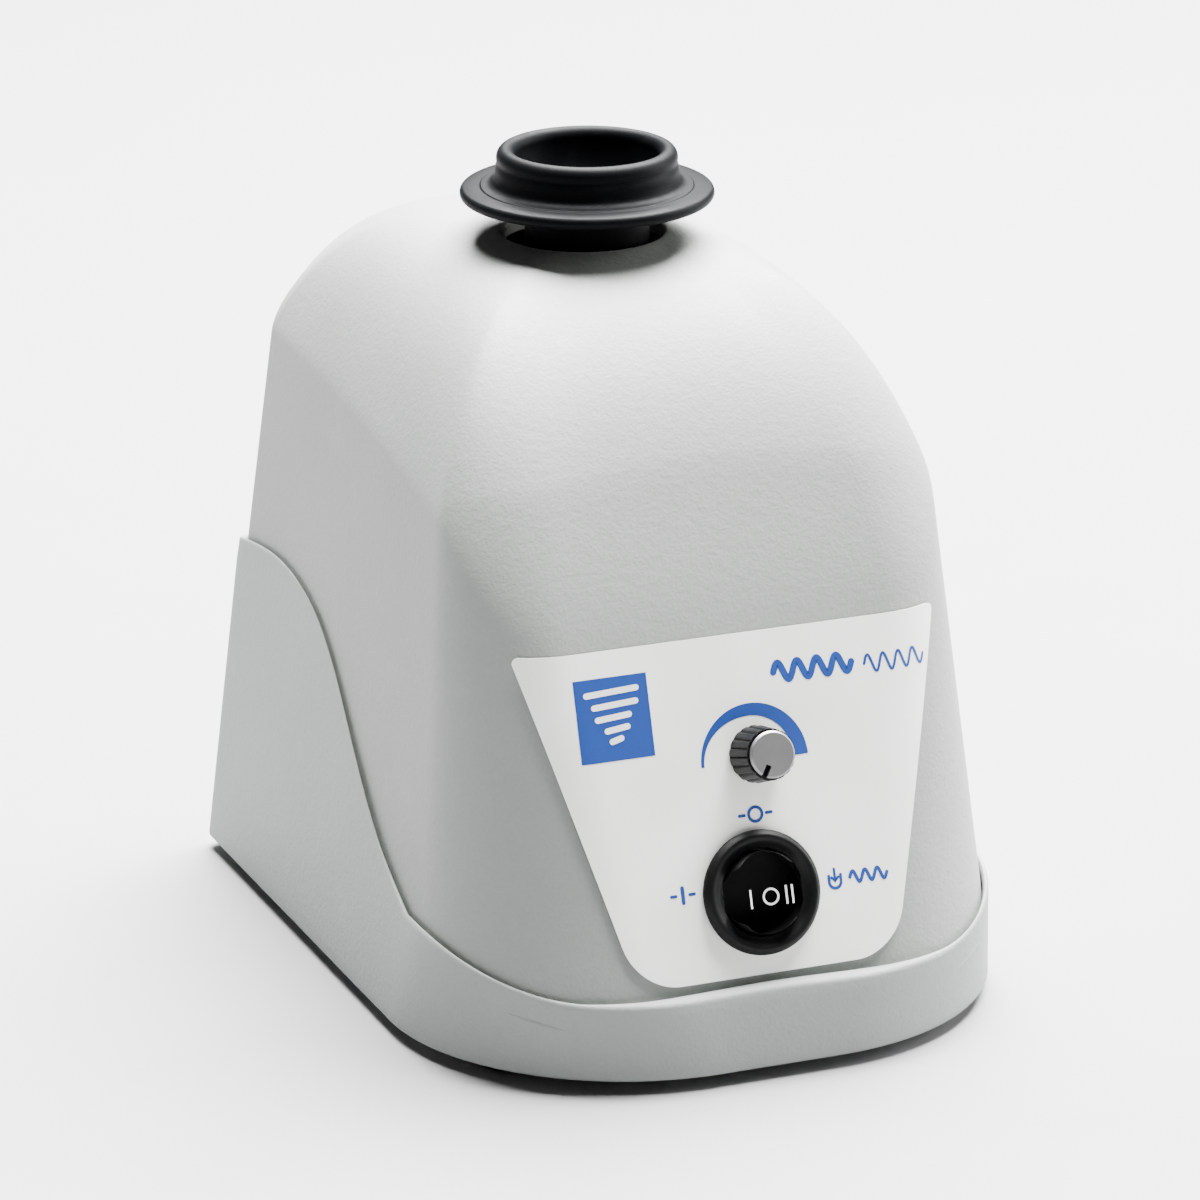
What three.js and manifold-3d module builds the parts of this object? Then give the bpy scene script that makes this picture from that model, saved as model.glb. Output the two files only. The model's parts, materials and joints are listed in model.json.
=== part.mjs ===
// Vortex mixer: a laboratory shaker that orbits a rubber cup while a tube is pressed into it.
// Units are millimetres, +Z is up, the front faces -Y and the feet stand on z = 0.
// The drafted, domed cover sits inside the wave-shaped lip of a base tray. Inside, a motor hangs on a
// sprung carriage, and its crank drives the cup round a small circle.

import * as THREE from "three";
import { mergeVertices } from "three/addons/utils/BufferGeometryUtils.js";
import Module from "manifold-3d";

const wasm = await Module();
wasm.setup();

// ---------------------------------------------------------------- driving dimensions

const BODY_DEPTH = 171; // base tray at its foot, rear to front
const BODY_WIDTH = 130; // base tray at its foot, across the front
const FOOT_GAP = 2.5; // floor to the underside of the tray
const PLAY = 0.3; // clearance between pieces that touch

// base tray, plan at its foot and draft of its walls
const TRAY = {
  rearHalf: BODY_WIDTH / 2 - 1.2,
  frontHalf: BODY_WIDTH / 2,
  sideDraft: 0.115,
  frontDraft: 0.13,
  rearDraft: 0.02,
  rearRadius: 4,
  frontRadius: 52,
  radiusDraft: 0.45,
  rearSetback: 0,
  frontSetback: 0,
};
const TRAY_WALL = 2.6;
const TRAY_FLOOR = 2.6;
const FOOT_EDGE = 1; // bevel round the underside of the tray
const LIP_SEAT = 5.5; // how far the cover reaches down behind the lip

// cover, plan of its walls extended down to the foot of the tray
const COVER = {
  rearHalf: BODY_WIDTH / 2 - 1.8,
  frontHalf: BODY_WIDTH / 2 - 2.7,
  sideDraft: 0.128,
  sideDraftFront: 0.082,
  frontDraft: 0.324,
  rearDraft: 0.02,
  rearRadius: 3,
  frontRadius: 40,
  radiusDraft: 0.23,
  rearSetback: 2.4,
  frontSetback: -1.3,
};
const COVER_WALL = 3;
const SHOULDER_Z = 116; // crease at the rear corners
const ARCH_RISE = 23.2; // crown of the rear wall above its shoulders
const CREASE_FALL = 0.0008; // how fast the crease drops towards the front, per mm squared
const BEND_DROP = 22; // soft bend above the front panel, below the shoulders
const BEND_Z = SHOULDER_Z - BEND_DROP;
const DOME_POWER = 4.1; // roundness of the dome, rear and sides
const DOME_POWER_FRONT = 3.1;
const CREASE_RADIUS = 1.2;
const BEND_RADIUS = 11;

// cup opening in the dome
const AXIS_V = 65.7; // crank axis, behind the front by this much from the rear wall
const HOLE_RADIUS = 17.6;
const HOLE_RISE = 31.6; // rim of the opening above the shoulders
const HOLE_Z = SHOULDER_Z + HOLE_RISE;
const HOLE_EDGE = 0.8;

// lip of the tray: height along the side, then round the corner, then across the front
const LIP_SIDE = [
  [0, 68.5],
  [25, 71.3],
  [45, 68.6],
  [60, 61],
  [80, 46],
  [100, 32.5],
  [118, 24],
];
const LIP_CORNER = 16.4;
const LIP_FRONT = 16.8;
const LIP_FALL = 1.35; // how early the lip is down to its corner height on its way round the corner
const LIP_ROUND = 1.3;
const LIP_TWIST = 0.2; // extra clearance where the lip runs steeply
const SEAT_GAP = PLAY + LIP_TWIST; // between the cover and the lip around it

// front panel
const PANEL_LEAN = Math.atan(COVER.frontDraft);
const PANEL_FOOT_Z = 17.3;
const KNOB_UP = 44.5; // heights are measured up the slope from the foot of the panel
const KNOB_X = 2.4;
const SWITCH_UP = 16.8;
const LABEL = { bottom: 0.6, top: 69.4, bottomHalf: 28.3, topHalf: 46.4, corner: 9, thick: 0.35, gap: 0.5 };

// drive
const ORBIT = 2.25; // throw of the crank, half of a 4.5 mm orbit
const MOTOR_RADIUS = 27;
const CRANK_ROOM = 59.8; // top of the motor to the rim of the cup opening
const CARRIAGE_HALF = 37;
const CARRIAGE_THICK = 2.5;
const SPRING_ROOM = 19.1; // weight to carriage
const SPRING_RADIUS = 4.6;
const SPRING_WIRE = 0.8;
const SPRING_TURNS = 4;
const PIN_RADIUS = 2;
const PIN_INSET = 7;
const WEIGHT_THICK = 11;
const SHAFT_RADIUS = 4;
const CRANK_RADIUS = 3;
const BEARING_RADIUS = 8;
const BEARING_HEIGHT = 7;

// cup head
const CUP = {
  ringRadius: 19,
  mouthRadius: 15.1,
  flangeRadius: 26.5,
  clear: 2.35, // neck to the rim of the opening, at the end of the orbit
  wall: 2.6,
  flangeThick: 3,
  flangeRise: 9, // heights above the rim of the opening
  topRise: 18.4,
  floorRise: 4.9,
  footDrop: 17.6,
};
const cupNeck = HOLE_RADIUS - ORBIT - CUP.clear;
const cupSocket = cupNeck - CUP.wall;
const cupFlangeZ = HOLE_Z + CUP.flangeRise;
const cupTopZ = HOLE_Z + CUP.topRise;
const cupFloorZ = HOLE_Z + CUP.floorRise;
const cupFootZ = HOLE_Z - CUP.footDrop;

// feet
const FOOT_RADIUS = 8;
const FOOT_INSET_X = 17;
const FOOT_INSET_REAR = 17;
const FOOT_INSET_FRONT = 30;

// mains inlet in the rear wall
const INLET = { z: 33, width: 50, height: 24, corner: 4, proud: 2, depth: 19 };

const REAR_Y = (BODY_DEPTH - INLET.proud) / 2;
const AXIS_Y = REAR_Y - AXIS_V;

// ---------------------------------------------------------------- materials

const paint = (color, roughness, metalness = 0) =>
  new THREE.MeshStandardMaterial({ color, roughness, metalness });
const coverPlastic = paint(0xcfd0cb, 0.62);
const trayPlastic = paint(0xcbcdc9, 0.62);
const labelFilm = paint(0xdedfd9, 0.5);
const blackPlastic = paint(0x0c0d0e, 0.4);
const rubber = paint(0x1c2224, 0.75);
const aluminium = paint(0x8f9192, 0.35, 0.9);
const steel = paint(0x9a9c9f, 0.3, 1);
const castIron = paint(0x45484a, 0.7, 0.6);
const brass = paint(0xb89a52, 0.35, 1);
const copper = paint(0xa5622f, 0.45, 1);
const boardGreen = paint(0x1f5b36, 0.5);

// ---------------------------------------------------------------- geometry helpers

const mix = THREE.MathUtils.lerp;
const smooth = (x) => THREE.MathUtils.smoothstep(x, 0, 1);
const toWorld = (x, v, z) => new THREE.Vector3(x, REAR_Y - v, z + FOOT_GAP);

// Closed surface through rings of equal length. Rings run anticlockwise seen from above and are listed so
// that outward faces come from an outer ring followed by a lower one. Ends are capped, or the last ring
// joins the first.
function loft(rings, closed) {
  const count = rings[0].length;
  const points = rings.flat();
  const faces = [];
  const last = closed ? rings.length : rings.length - 1;
  for (let r = 0; r < last; r++) {
    const a = r * count;
    const b = ((r + 1) % rings.length) * count;
    for (let i = 0; i < count; i++) {
      const j = (i + 1) % count;
      faces.push(a + i, b + i, b + j, a + i, b + j, a + j);
    }
  }
  if (!closed) {
    const middle = (ring) => ring.reduce((sum, p) => sum.add(p), new THREE.Vector3()).divideScalar(count);
    const top = points.length;
    points.push(middle(rings[0]), middle(rings[rings.length - 1]));
    const end = (rings.length - 1) * count;
    for (let i = 0; i < count; i++) {
      const j = (i + 1) % count;
      faces.push(top, i, j, top + 1, end + j, end + i);
    }
  }
  const geometry = new THREE.BufferGeometry().setFromPoints(points);
  geometry.setIndex(faces);
  return geometry;
}

// Thin sheet between two grids of rows, the first one facing out.
function sheet(front, back) {
  const rows = front.length;
  const columns = front[0].length;
  const at = (layer, r, c) => layer * rows * columns + r * columns + c;
  const faces = [];
  const quad = (a, b, c, d) => faces.push(a, b, c, a, c, d);
  for (let r = 0; r + 1 < rows; r++) {
    for (let c = 0; c + 1 < columns; c++) {
      quad(at(0, r, c), at(0, r, c + 1), at(0, r + 1, c + 1), at(0, r + 1, c));
      quad(at(1, r, c), at(1, r + 1, c), at(1, r + 1, c + 1), at(1, r, c + 1));
    }
    quad(at(0, r, 0), at(0, r + 1, 0), at(1, r + 1, 0), at(1, r, 0));
    quad(at(1, r, columns - 1), at(1, r + 1, columns - 1), at(0, r + 1, columns - 1), at(0, r, columns - 1));
  }
  for (let c = 0; c + 1 < columns; c++) {
    quad(at(1, 0, c), at(1, 0, c + 1), at(0, 0, c + 1), at(0, 0, c));
    quad(at(0, rows - 1, c), at(0, rows - 1, c + 1), at(1, rows - 1, c + 1), at(1, rows - 1, c));
  }
  const geometry = new THREE.BufferGeometry().setFromPoints([...front.flat(), ...back.flat()]);
  geometry.setIndex(faces);
  return geometry;
}

function solidOf(geometry) {
  const bare = new THREE.BufferGeometry();
  const flat = geometry.index ? geometry.toNonIndexed() : geometry;
  bare.setAttribute("position", flat.getAttribute("position"));
  const merged = mergeVertices(bare, 1e-4);
  const vertProperties = new Float32Array(merged.attributes.position.array);
  const triVerts = new Uint32Array(merged.index.array);
  return new wasm.Manifold(new wasm.Mesh({ numProp: 3, vertProperties, triVerts }));
}

function geometryOf(solid) {
  const made = solid.getMesh();
  const geometry = new THREE.BufferGeometry();
  geometry.setAttribute("position", new THREE.BufferAttribute(new Float32Array(made.vertProperties), 3));
  geometry.setIndex(new THREE.BufferAttribute(new Uint32Array(made.triVerts), 1));
  return geometry;
}

const cut = (base, ...tools) => geometryOf(tools.reduce((s, t) => s.subtract(solidOf(t)), solidOf(base)));
const join = (base, ...more) => geometryOf(more.reduce((s, t) => s.add(solidOf(t)), solidOf(base)));
const common = (a, b) => geometryOf(solidOf(a).intersect(solidOf(b)));

// Turned piece about +Z from [radius, z] pairs.
function turned(profile, segments = 20) {
  const points = profile.map(([r, z]) => new THREE.Vector2(r, z));
  return new THREE.LatheGeometry(points, segments).rotateX(Math.PI / 2);
}

const rod = (radius, z0, z1, segments = 20) =>
  new THREE.CylinderGeometry(radius, radius, z1 - z0, segments)
    .rotateX(Math.PI / 2)
    .translate(0, 0, (z0 + z1) / 2);

const block = (x0, y0, z0, x1, y1, z1) =>
  new THREE.BoxGeometry(x1 - x0, y1 - y0, z1 - z0).translate((x0 + x1) / 2, (y0 + y1) / 2, (z0 + z1) / 2);

function roundedRect(halfX, halfY, radius) {
  const shape = new THREE.Shape();
  shape.moveTo(-halfX + radius, -halfY);
  shape.lineTo(halfX - radius, -halfY);
  shape.absarc(halfX - radius, -halfY + radius, radius, -Math.PI / 2, 0);
  shape.absarc(halfX - radius, halfY - radius, radius, 0, Math.PI / 2);
  shape.absarc(-halfX + radius, halfY - radius, radius, Math.PI / 2, Math.PI);
  shape.absarc(-halfX + radius, -halfY + radius, radius, Math.PI, Math.PI * 1.5);
  return shape;
}

function slab(shape, z0, z1, curveSegments = 5) {
  const options = { depth: z1 - z0, bevelEnabled: false, curveSegments };
  return new THREE.ExtrudeGeometry(shape, options).translate(0, 0, z0);
}

function piece(name, geometry, material) {
  const mesh = new THREE.Mesh(geometry, material);
  mesh.name = name;
  return mesh;
}

// ---------------------------------------------------------------- plan outlines of the housing

const REAR_STEPS = 4;
const REAR_CORNER_STEPS = 2;
const SIDE_STEPS = 8;
const FRONT_CORNER_STEPS = 7;
const FRONT_STEPS = 2;
const HALF = REAR_STEPS + REAR_CORNER_STEPS + SIDE_STEPS + FRONT_CORNER_STEPS + FRONT_STEPS;

// Sizes of the plan outline at one height: v runs forward from the rear wall.
function planAt(form, z, inset) {
  const rearHalf = form.rearHalf - form.sideDraft * z - inset;
  const frontHalf = form.frontHalf - (form.sideDraftFront ?? form.sideDraft) * z - inset;
  const radius = Math.max(form.frontRadius - form.radiusDraft * z - inset, 4);
  const rear = form.rearSetback + form.rearDraft * z + inset;
  const front = BODY_DEPTH + form.frontSetback - form.frontDraft * z - inset;
  const rearRadius = Math.max(form.rearRadius - inset, 0.6);
  return { rearHalf, frontHalf, radius, rear, front, rearRadius };
}

// Point number i of the outline, counted from the middle of the rear along the -X side to the middle of
// the front, as [x, v].
function planPoint(form, i, z, inset = 0) {
  const p = planAt(form, z, inset);
  const sideEnd = p.front - p.radius;
  if (i <= REAR_STEPS) return [(-i / REAR_STEPS) * (p.rearHalf - p.rearRadius), p.rear];
  i -= REAR_STEPS;
  if (i <= REAR_CORNER_STEPS) {
    const a = ((i / REAR_CORNER_STEPS) * Math.PI) / 2;
    const x = -p.rearHalf + p.rearRadius * (1 - Math.sin(a));
    return [x, p.rear + p.rearRadius * (1 - Math.cos(a))];
  }
  i -= REAR_CORNER_STEPS;
  if (i <= SIDE_STEPS) {
    const f = i / SIDE_STEPS;
    return [-mix(p.rearHalf, p.frontHalf, f), mix(p.rear + p.rearRadius, sideEnd, f)];
  }
  i -= SIDE_STEPS;
  if (i <= FRONT_CORNER_STEPS) {
    const a = ((i / FRONT_CORNER_STEPS) * Math.PI) / 2;
    return [-p.frontHalf + p.radius * (1 - Math.cos(a)), sideEnd + p.radius * Math.sin(a)];
  }
  i -= FRONT_CORNER_STEPS;
  return [-(p.frontHalf - p.radius) * (1 - i / FRONT_STEPS), p.front];
}

// A whole ring: place(i) gives [x, v, z] for the -X half, and the +X half mirrors it.
function ring(place) {
  const half = Array.from({ length: HALF + 1 }, (_, i) => place(i));
  const other = half.slice(1, HALF).reverse();
  return [...half.map(([x, v, z]) => toWorld(x, v, z)), ...other.map(([x, v, z]) => toWorld(-x, v, z))];
}

const cornerStart = REAR_STEPS + REAR_CORNER_STEPS + SIDE_STEPS;
const cornerEnd = cornerStart + FRONT_CORNER_STEPS;

// Height of the crease, where the dome meets the walls.
function creaseZ(i, x, v, half) {
  if (i <= REAR_STEPS + REAR_CORNER_STEPS) {
    return SHOULDER_Z + ARCH_RISE * (1 - Math.pow(Math.min(Math.abs(x) / half, 1), DOME_POWER));
  }
  const side = SHOULDER_Z - CREASE_FALL * Math.max(v - 15, 0) ** 2;
  if (i <= cornerStart) return side;
  return mix(side, BEND_Z, smooth((i - cornerStart) / FRONT_CORNER_STEPS));
}

// Crease point number i of the cover's skin at one inset: it lies on the wall surface.
function creasePoint(i, inset) {
  let z = SHOULDER_Z;
  let place;
  for (let pass = 0; pass < 6; pass++) {
    const [x, v] = planPoint(COVER, i, z, inset);
    z = creaseZ(i, x, v, planAt(COVER, z, inset).rearHalf) - inset;
    place = [x, v, z];
  }
  return place;
}

// 0 along the rear and the sides, rising to 1 across the front.
const frontness = (i) => smooth((i - cornerStart + 1) / (FRONT_CORNER_STEPS + 1));

// Lip height of the tray at outline point i.
const lipCurve = new THREE.SplineCurve(LIP_SIDE.map(([v, z]) => new THREE.Vector2(v, z)));
function lipOnSide(v) {
  const from = LIP_SIDE[0][0];
  const to = LIP_SIDE[LIP_SIDE.length - 1][0];
  let low = 0;
  let high = 1;
  for (let pass = 0; pass < 24; pass++) {
    const t = (low + high) / 2;
    if (lipCurve.getPoint(t).x < Math.min(Math.max(v, from), to)) low = t;
    else high = t;
  }
  return lipCurve.getPoint(low).y;
}
function lipZ(i) {
  const [, v] = planPoint(TRAY, i, LIP_FRONT);
  if (i <= cornerStart) return lipOnSide(v);
  const side = lipOnSide(planPoint(TRAY, cornerStart, LIP_FRONT)[1]);
  const round = (i - cornerStart) / FRONT_CORNER_STEPS;
  if (i <= cornerEnd) return mix(side, LIP_CORNER, smooth(Math.min(LIP_FALL * round, 1)));
  return mix(LIP_CORNER, LIP_FRONT, smooth((i - cornerEnd) / FRONT_STEPS));
}

// ---------------------------------------------------------------- cover

// One skin of the cover, from the cup hole over the dome and down the walls.
function coverSkin(inset, domeSteps, bendSteps, wallSteps) {
  const rimZ = HOLE_Z - inset;
  const crease = Array.from({ length: HALF + 1 }, (_, i) => creasePoint(i, inset));
  const domePoint = (i, plan) => {
    const [kx, kv, kz] = crease[i];
    const reach = Math.hypot(kx, kv - AXIS_V);
    const power = mix(DOME_POWER, DOME_POWER_FRONT, frontness(i));
    const r = mix(HOLE_RADIUS, reach, plan);
    const apex = (rimZ - kz) / (1 - Math.pow(HOLE_RADIUS / reach, power));
    const z = kz + apex * (1 - Math.pow(r / reach, power));
    return [(kx * r) / reach, AXIS_V + ((kv - AXIS_V) * r) / reach, z];
  };
  const blend = (i) => mix(CREASE_RADIUS, BEND_RADIUS, frontness(i));
  const planEnd = (i) => {
    const [kx, kv] = crease[i];
    return 1 - blend(i) / (Math.hypot(kx, kv - AXIS_V) - HOLE_RADIUS);
  };
  const wallPoint = (i, z) => [...planPoint(COVER, i, z, inset), z];
  const foot = (i) => lipZ(i) - LIP_SEAT;
  const steps = (count) => Array.from({ length: count }, (_, n) => (n + 1) / count);
  const rings = [0, ...steps(domeSteps)].map((f) => ring((i) => domePoint(i, f * planEnd(i))));
  for (const t of steps(bendSteps)) {
    rings.push(
      ring((i) => {
        const a = domePoint(i, planEnd(i));
        const b = wallPoint(i, crease[i][2] - blend(i));
        return a.map((_, k) => (1 - t) ** 2 * a[k] + 2 * t * (1 - t) * crease[i][k] + t * t * b[k]);
      }),
    );
  }
  for (const f of steps(wallSteps)) {
    rings.push(ring((i) => wallPoint(i, mix(crease[i][2] - blend(i), foot(i), f))));
  }
  return rings;
}

function rimRing(radius, z) {
  return ring((i) => {
    const [kx, kv] = creasePoint(i, 0);
    const reach = Math.hypot(kx, kv - AXIS_V);
    return [(kx * radius) / reach, AXIS_V + ((kv - AXIS_V) * radius) / reach, z];
  });
}

function coverShell() {
  const outer = coverSkin(0, 6, 3, 2);
  const inner = coverSkin(COVER_WALL, 3, 1, 1);
  const lowEdge = rimRing(HOLE_RADIUS - HOLE_EDGE, HOLE_Z - COVER_WALL);
  const highEdge = rimRing(HOLE_RADIUS - HOLE_EDGE, HOLE_Z - HOLE_EDGE);
  return loft([highEdge, ...outer, ...inner.reverse(), lowEdge], true);
}

// Places a group on the front panel: x across, y up the slope, z out of the face.
function onPanel(x, up) {
  const group = new THREE.Group();
  const v = planAt(COVER, PANEL_FOOT_Z, 0).front - up * Math.sin(PANEL_LEAN);
  group.position.copy(toWorld(x, v, PANEL_FOOT_Z + up * Math.cos(PANEL_LEAN)));
  group.rotation.x = Math.PI / 2 - PANEL_LEAN;
  group.updateMatrixWorld(true);
  return group;
}

const knobPlace = onPanel(KNOB_X, KNOB_UP);
const switchPlace = onPanel(0, SWITCH_UP);
const onWorld = (geometry, group) => geometry.clone().applyMatrix4(group.matrixWorld);

const KNOB_HOLE = 3.8;
const SWITCH_HOLE = 10.2;
const THROUGH = 12; // reach of a cutting tool either side of the wall it goes through
const VENT = { count: 7, pitch: 6, length: 22, width: 2.6, drop: 16 };

function ventSlots() {
  return Array.from({ length: VENT.count }, (_, n) => {
    const x = (n - (VENT.count - 1) / 2) * VENT.pitch;
    const outline = roundedRect(VENT.width / 2, VENT.length / 2, VENT.width / 2 - 0.01);
    const slot = slab(outline, -THROUGH, THROUGH, 2);
    return slot.rotateX(Math.PI / 2).translate(x, REAR_Y, SHOULDER_Z - VENT.drop + FOOT_GAP);
  });
}

const POST_INSET = { rear: 20.5, front: 31.5 }; // from the side of the tray's foot
const POST_REACH = { rear: 30, front: 22 }; // from the rear wall and from the front
const SCREW_POSTS = [
  { x: BODY_WIDTH / 2 - POST_INSET.rear, v: POST_REACH.rear, split: 70, top: SHOULDER_Z - 21 },
  { x: BODY_WIDTH / 2 - POST_INSET.front, v: BODY_DEPTH - POST_REACH.front, split: 30, top: 45 },
];
const POST_RADIUS = 5;
const BOSS_RADIUS = 4.2;
const SCREW_RADIUS = 1.5;
const SCREW_HEAD = 2.7;
const SCREW_HEAD_TALL = 2.4;
const SCREW_FLOOR = 4; // plastic left under the top of a post, above the screw's head
const PILOT_END = 2; // depth of boss left above its pilot hole
const postPlaces = SCREW_POSTS.flatMap((post) => [-1, 1].map((side) => ({ ...post, side })));

const atPlan = (geometry, x, v) => geometry.translate(x, REAR_Y - v, FOOT_GAP);

// Each boss meets the wall beside it through a rib, which stops inside the wall.
const RIB_HALF = 1.5;
function coverBoss({ x, v, split, top, side }) {
  const boss = rod(BOSS_RADIUS, split + PLAY, top, 16);
  const reach = side * (planAt(COVER, top, COVER_WALL / 2).rearHalf - x);
  const rib = block(Math.min(0, reach), -RIB_HALF, split + PLAY, Math.max(0, reach), RIB_HALF, top);
  return atPlan(v < BODY_DEPTH / 2 ? join(boss, rib) : boss, side * x, v);
}
const coverBosses = postPlaces.map(coverBoss);
const coverPilotHoles = postPlaces.map(({ x, v, split, top, side }) =>
  atPlan(rod(SCREW_RADIUS + PLAY, split - 1, top - PILOT_END, 12), side * x, v),
);

const cover = piece(
  "top_cover",
  cut(
    join(coverShell(), ...coverBosses),
    onWorld(rod(KNOB_HOLE, -THROUGH, THROUGH), knobPlace),
    onWorld(rod(SWITCH_HOLE, -THROUGH, THROUGH, 32), switchPlace),
    ...ventSlots(),
    ...coverPilotHoles,
  ),
  coverPlastic,
);

// ---------------------------------------------------------------- base tray

function trayShell() {
  const wall = (z, inset) => (i) => [...planPoint(TRAY, i, z, inset), z];
  const middle = (inset) => (i) => [...planPoint(TRAY, i, lipZ(i) / 2, inset), lipZ(i) / 2];
  const lip = (drop, inset) => (i) => [...planPoint(TRAY, i, lipZ(i), inset), lipZ(i) - drop];
  const seat = (drop, gap) => (i) => [...planPoint(COVER, i, lipZ(i) - drop, -gap), lipZ(i) - drop];
  const rings = [
    seat(LIP_SEAT + PLAY, -COVER_WALL),
    seat(LIP_SEAT + PLAY, SEAT_GAP),
    seat(LIP_ROUND * 0.6, SEAT_GAP),
    (i) => {
      const [ax, av] = planPoint(TRAY, i, lipZ(i), LIP_ROUND);
      const [bx, bv] = planPoint(COVER, i, lipZ(i), -SEAT_GAP);
      return [mix(ax, bx, 0.5), mix(av, bv, 0.5), lipZ(i)];
    },
    lip(LIP_ROUND * 0.25, 0.45 * LIP_ROUND),
    lip(LIP_ROUND, 0),
    middle(0),
    wall(FOOT_EDGE, 0),
    wall(0, FOOT_EDGE),
  ].map(ring);
  return loft([ring(wall(TRAY_FLOOR, TRAY_WALL)), ring(middle(TRAY_WALL)), ...rings], false);
}

const footPlaces = [
  ["rear_left", -1, FOOT_INSET_REAR],
  ["rear_right", 1, FOOT_INSET_REAR],
  ["front_left", -1, BODY_DEPTH - FOOT_INSET_FRONT],
  ["front_right", 1, BODY_DEPTH - FOOT_INSET_FRONT],
];
const footX = TRAY.rearHalf - FOOT_INSET_X;
const FOOT_STEM = 2.6;
const INLET_BODY = { width: 28, height: 20.6, corner: 1.5 };
const INLET_SCREW_X = 20;

function inletWindow() {
  const outline = roundedRect(INLET_BODY.width / 2 + PLAY, INLET_BODY.height / 2 + PLAY, INLET_BODY.corner);
  return slab(outline, -THROUGH, THROUGH, 2).rotateX(Math.PI / 2).translate(0, REAR_Y, INLET.z + FOOT_GAP);
}

const inletScrewHoles = [-1, 1].map((side) =>
  rod(SCREW_RADIUS + PLAY, -6, 6, 12)
    .rotateX(Math.PI / 2)
    .translate(side * INLET_SCREW_X, REAR_Y, INLET.z + FOOT_GAP),
);

function traySolid() {
  const atPosts = (make) => postPlaces.map(({ x, v, split, side }) => atPlan(make(split), side * x, v));
  const posts = atPosts((split) => rod(POST_RADIUS, TRAY_FLOOR / 2, split, 16));
  const wells = atPosts((split) => rod(SCREW_HEAD + 2 * PLAY, -1, split - SCREW_FLOOR, 16));
  const shanks = atPosts((split) => rod(SCREW_RADIUS + PLAY, split - SCREW_FLOOR - 1, split + 1, 12));
  const stemHole = () => rod(FOOT_STEM + PLAY, -1, TRAY_FLOOR + 1, 16);
  const stems = footPlaces.map(([, side, v]) => atPlan(stemHole(), side * footX, v));
  return cut(join(trayShell(), ...posts), ...wells, ...shanks, ...stems, inletWindow(), ...inletScrewHoles);
}

const tray = piece("base_tray", traySolid(), trayPlastic);

const housingScrews = postPlaces.map(({ x, v, split, top, side }, n) => {
  const seat = split - SCREW_FLOOR - PLAY;
  const shank = rod(SCREW_RADIUS, seat - 1, top - PILOT_END - 1, 12);
  const head = rod(SCREW_HEAD, seat - SCREW_HEAD_TALL, seat, 12);
  return piece("housing_screw_" + (n + 1), atPlan(join(shank, head), side * x, v), steel);
});

const feet = footPlaces.map(([place, side, v]) => {
  const foot = turned(
    [
      [0, -FOOT_GAP],
      [FOOT_RADIUS - 1.2, -FOOT_GAP],
      [FOOT_RADIUS, -FOOT_GAP + 0.8],
      [FOOT_RADIUS - 0.6, -PLAY],
      [FOOT_STEM, -PLAY],
      [FOOT_STEM, TRAY_FLOOR + PLAY],
      [FOOT_STEM + 0.9, TRAY_FLOOR + PLAY],
      [FOOT_STEM - 0.8, TRAY_FLOOR + 3],
      [0, TRAY_FLOOR + 3],
    ],
    16,
  );
  return piece("foot_" + place, atPlan(foot, side * footX, v), rubber);
});

// ---------------------------------------------------------------- weight, springs and carriage

const drive = new THREE.Group();
drive.position.set(0, AXIS_Y, FOOT_GAP);

const weightZ = TRAY_FLOOR + PLAY;
const weightTop = weightZ + WEIGHT_THICK;
const carriageFoot = weightTop + SPRING_ROOM;
const pinReach = CARRIAGE_HALF - PIN_INSET;
const corners = [
  [-1, -1],
  [1, -1],
  [1, 1],
  [-1, 1],
];
const atCorners = (make) => corners.map(([sx, sy]) => make().translate(sx * pinReach, sy * pinReach, 0));

const WEIGHT = { half: 38, rear: 22, front: BODY_DEPTH - 33, corner: 8 };
const weightShape = roundedRect(WEIGHT.half, (WEIGHT.front - WEIGHT.rear) / 2, WEIGHT.corner);
const weightShift = AXIS_V - (WEIGHT.front + WEIGHT.rear) / 2;
const weight = piece(
  "base_weight",
  cut(
    slab(weightShape, weightZ, weightTop).translate(0, weightShift, 0),
    ...atCorners(() => rod(PIN_RADIUS + PLAY, weightZ + 1, weightTop + 1, 12)),
  ),
  castIron,
);

const carriageTop = carriageFoot + CARRIAGE_THICK;
const MOTOR_SCREW_REACH = 15;
const atMotorScrews = (make) => [-1, 1].map((side) => make().translate(side * MOTOR_SCREW_REACH, 0, 0));
const carriage = piece(
  "motor_carriage",
  cut(
    slab(roundedRect(CARRIAGE_HALF, CARRIAGE_HALF, 5), carriageFoot, carriageTop),
    ...atCorners(() => rod(PIN_RADIUS + PLAY, carriageFoot - 1, carriageTop + 1, 12)),
    ...atMotorScrews(() => rod(SCREW_RADIUS + PLAY, carriageFoot - 1, carriageTop + 1, 12)),
  ),
  steel,
);

const PIN_HEAD = { radius: 3.6, tall: 2.2 };
const guidePins = atCorners(() =>
  join(
    rod(PIN_RADIUS, weightZ + 1 + PLAY, carriageTop + PLAY + 1, 12),
    rod(PIN_HEAD.radius, carriageTop + PLAY, carriageTop + PLAY + PIN_HEAD.tall, 12),
  ),
).map((geometry, n) => piece("guide_pin_" + (n + 1), geometry, steel));

class Helix extends THREE.Curve {
  constructor(radius, z0, z1, turns) {
    super();
    Object.assign(this, { radius, z0, z1, turns });
  }
  getPoint(t, target = new THREE.Vector3()) {
    const a = 2 * Math.PI * this.turns * t;
    return target.set(this.radius * Math.cos(a), this.radius * Math.sin(a), mix(this.z0, this.z1, t));
  }
}

function wireAlong(path, radius, sides, steps) {
  const section = new THREE.Shape(
    Array.from({ length: sides }, (_, n) => {
      const a = (2 * Math.PI * n) / sides;
      return new THREE.Vector2(radius * Math.cos(a), radius * Math.sin(a));
    }),
  );
  return new THREE.ExtrudeGeometry(section, { steps, extrudePath: path, bevelEnabled: false });
}

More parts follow.
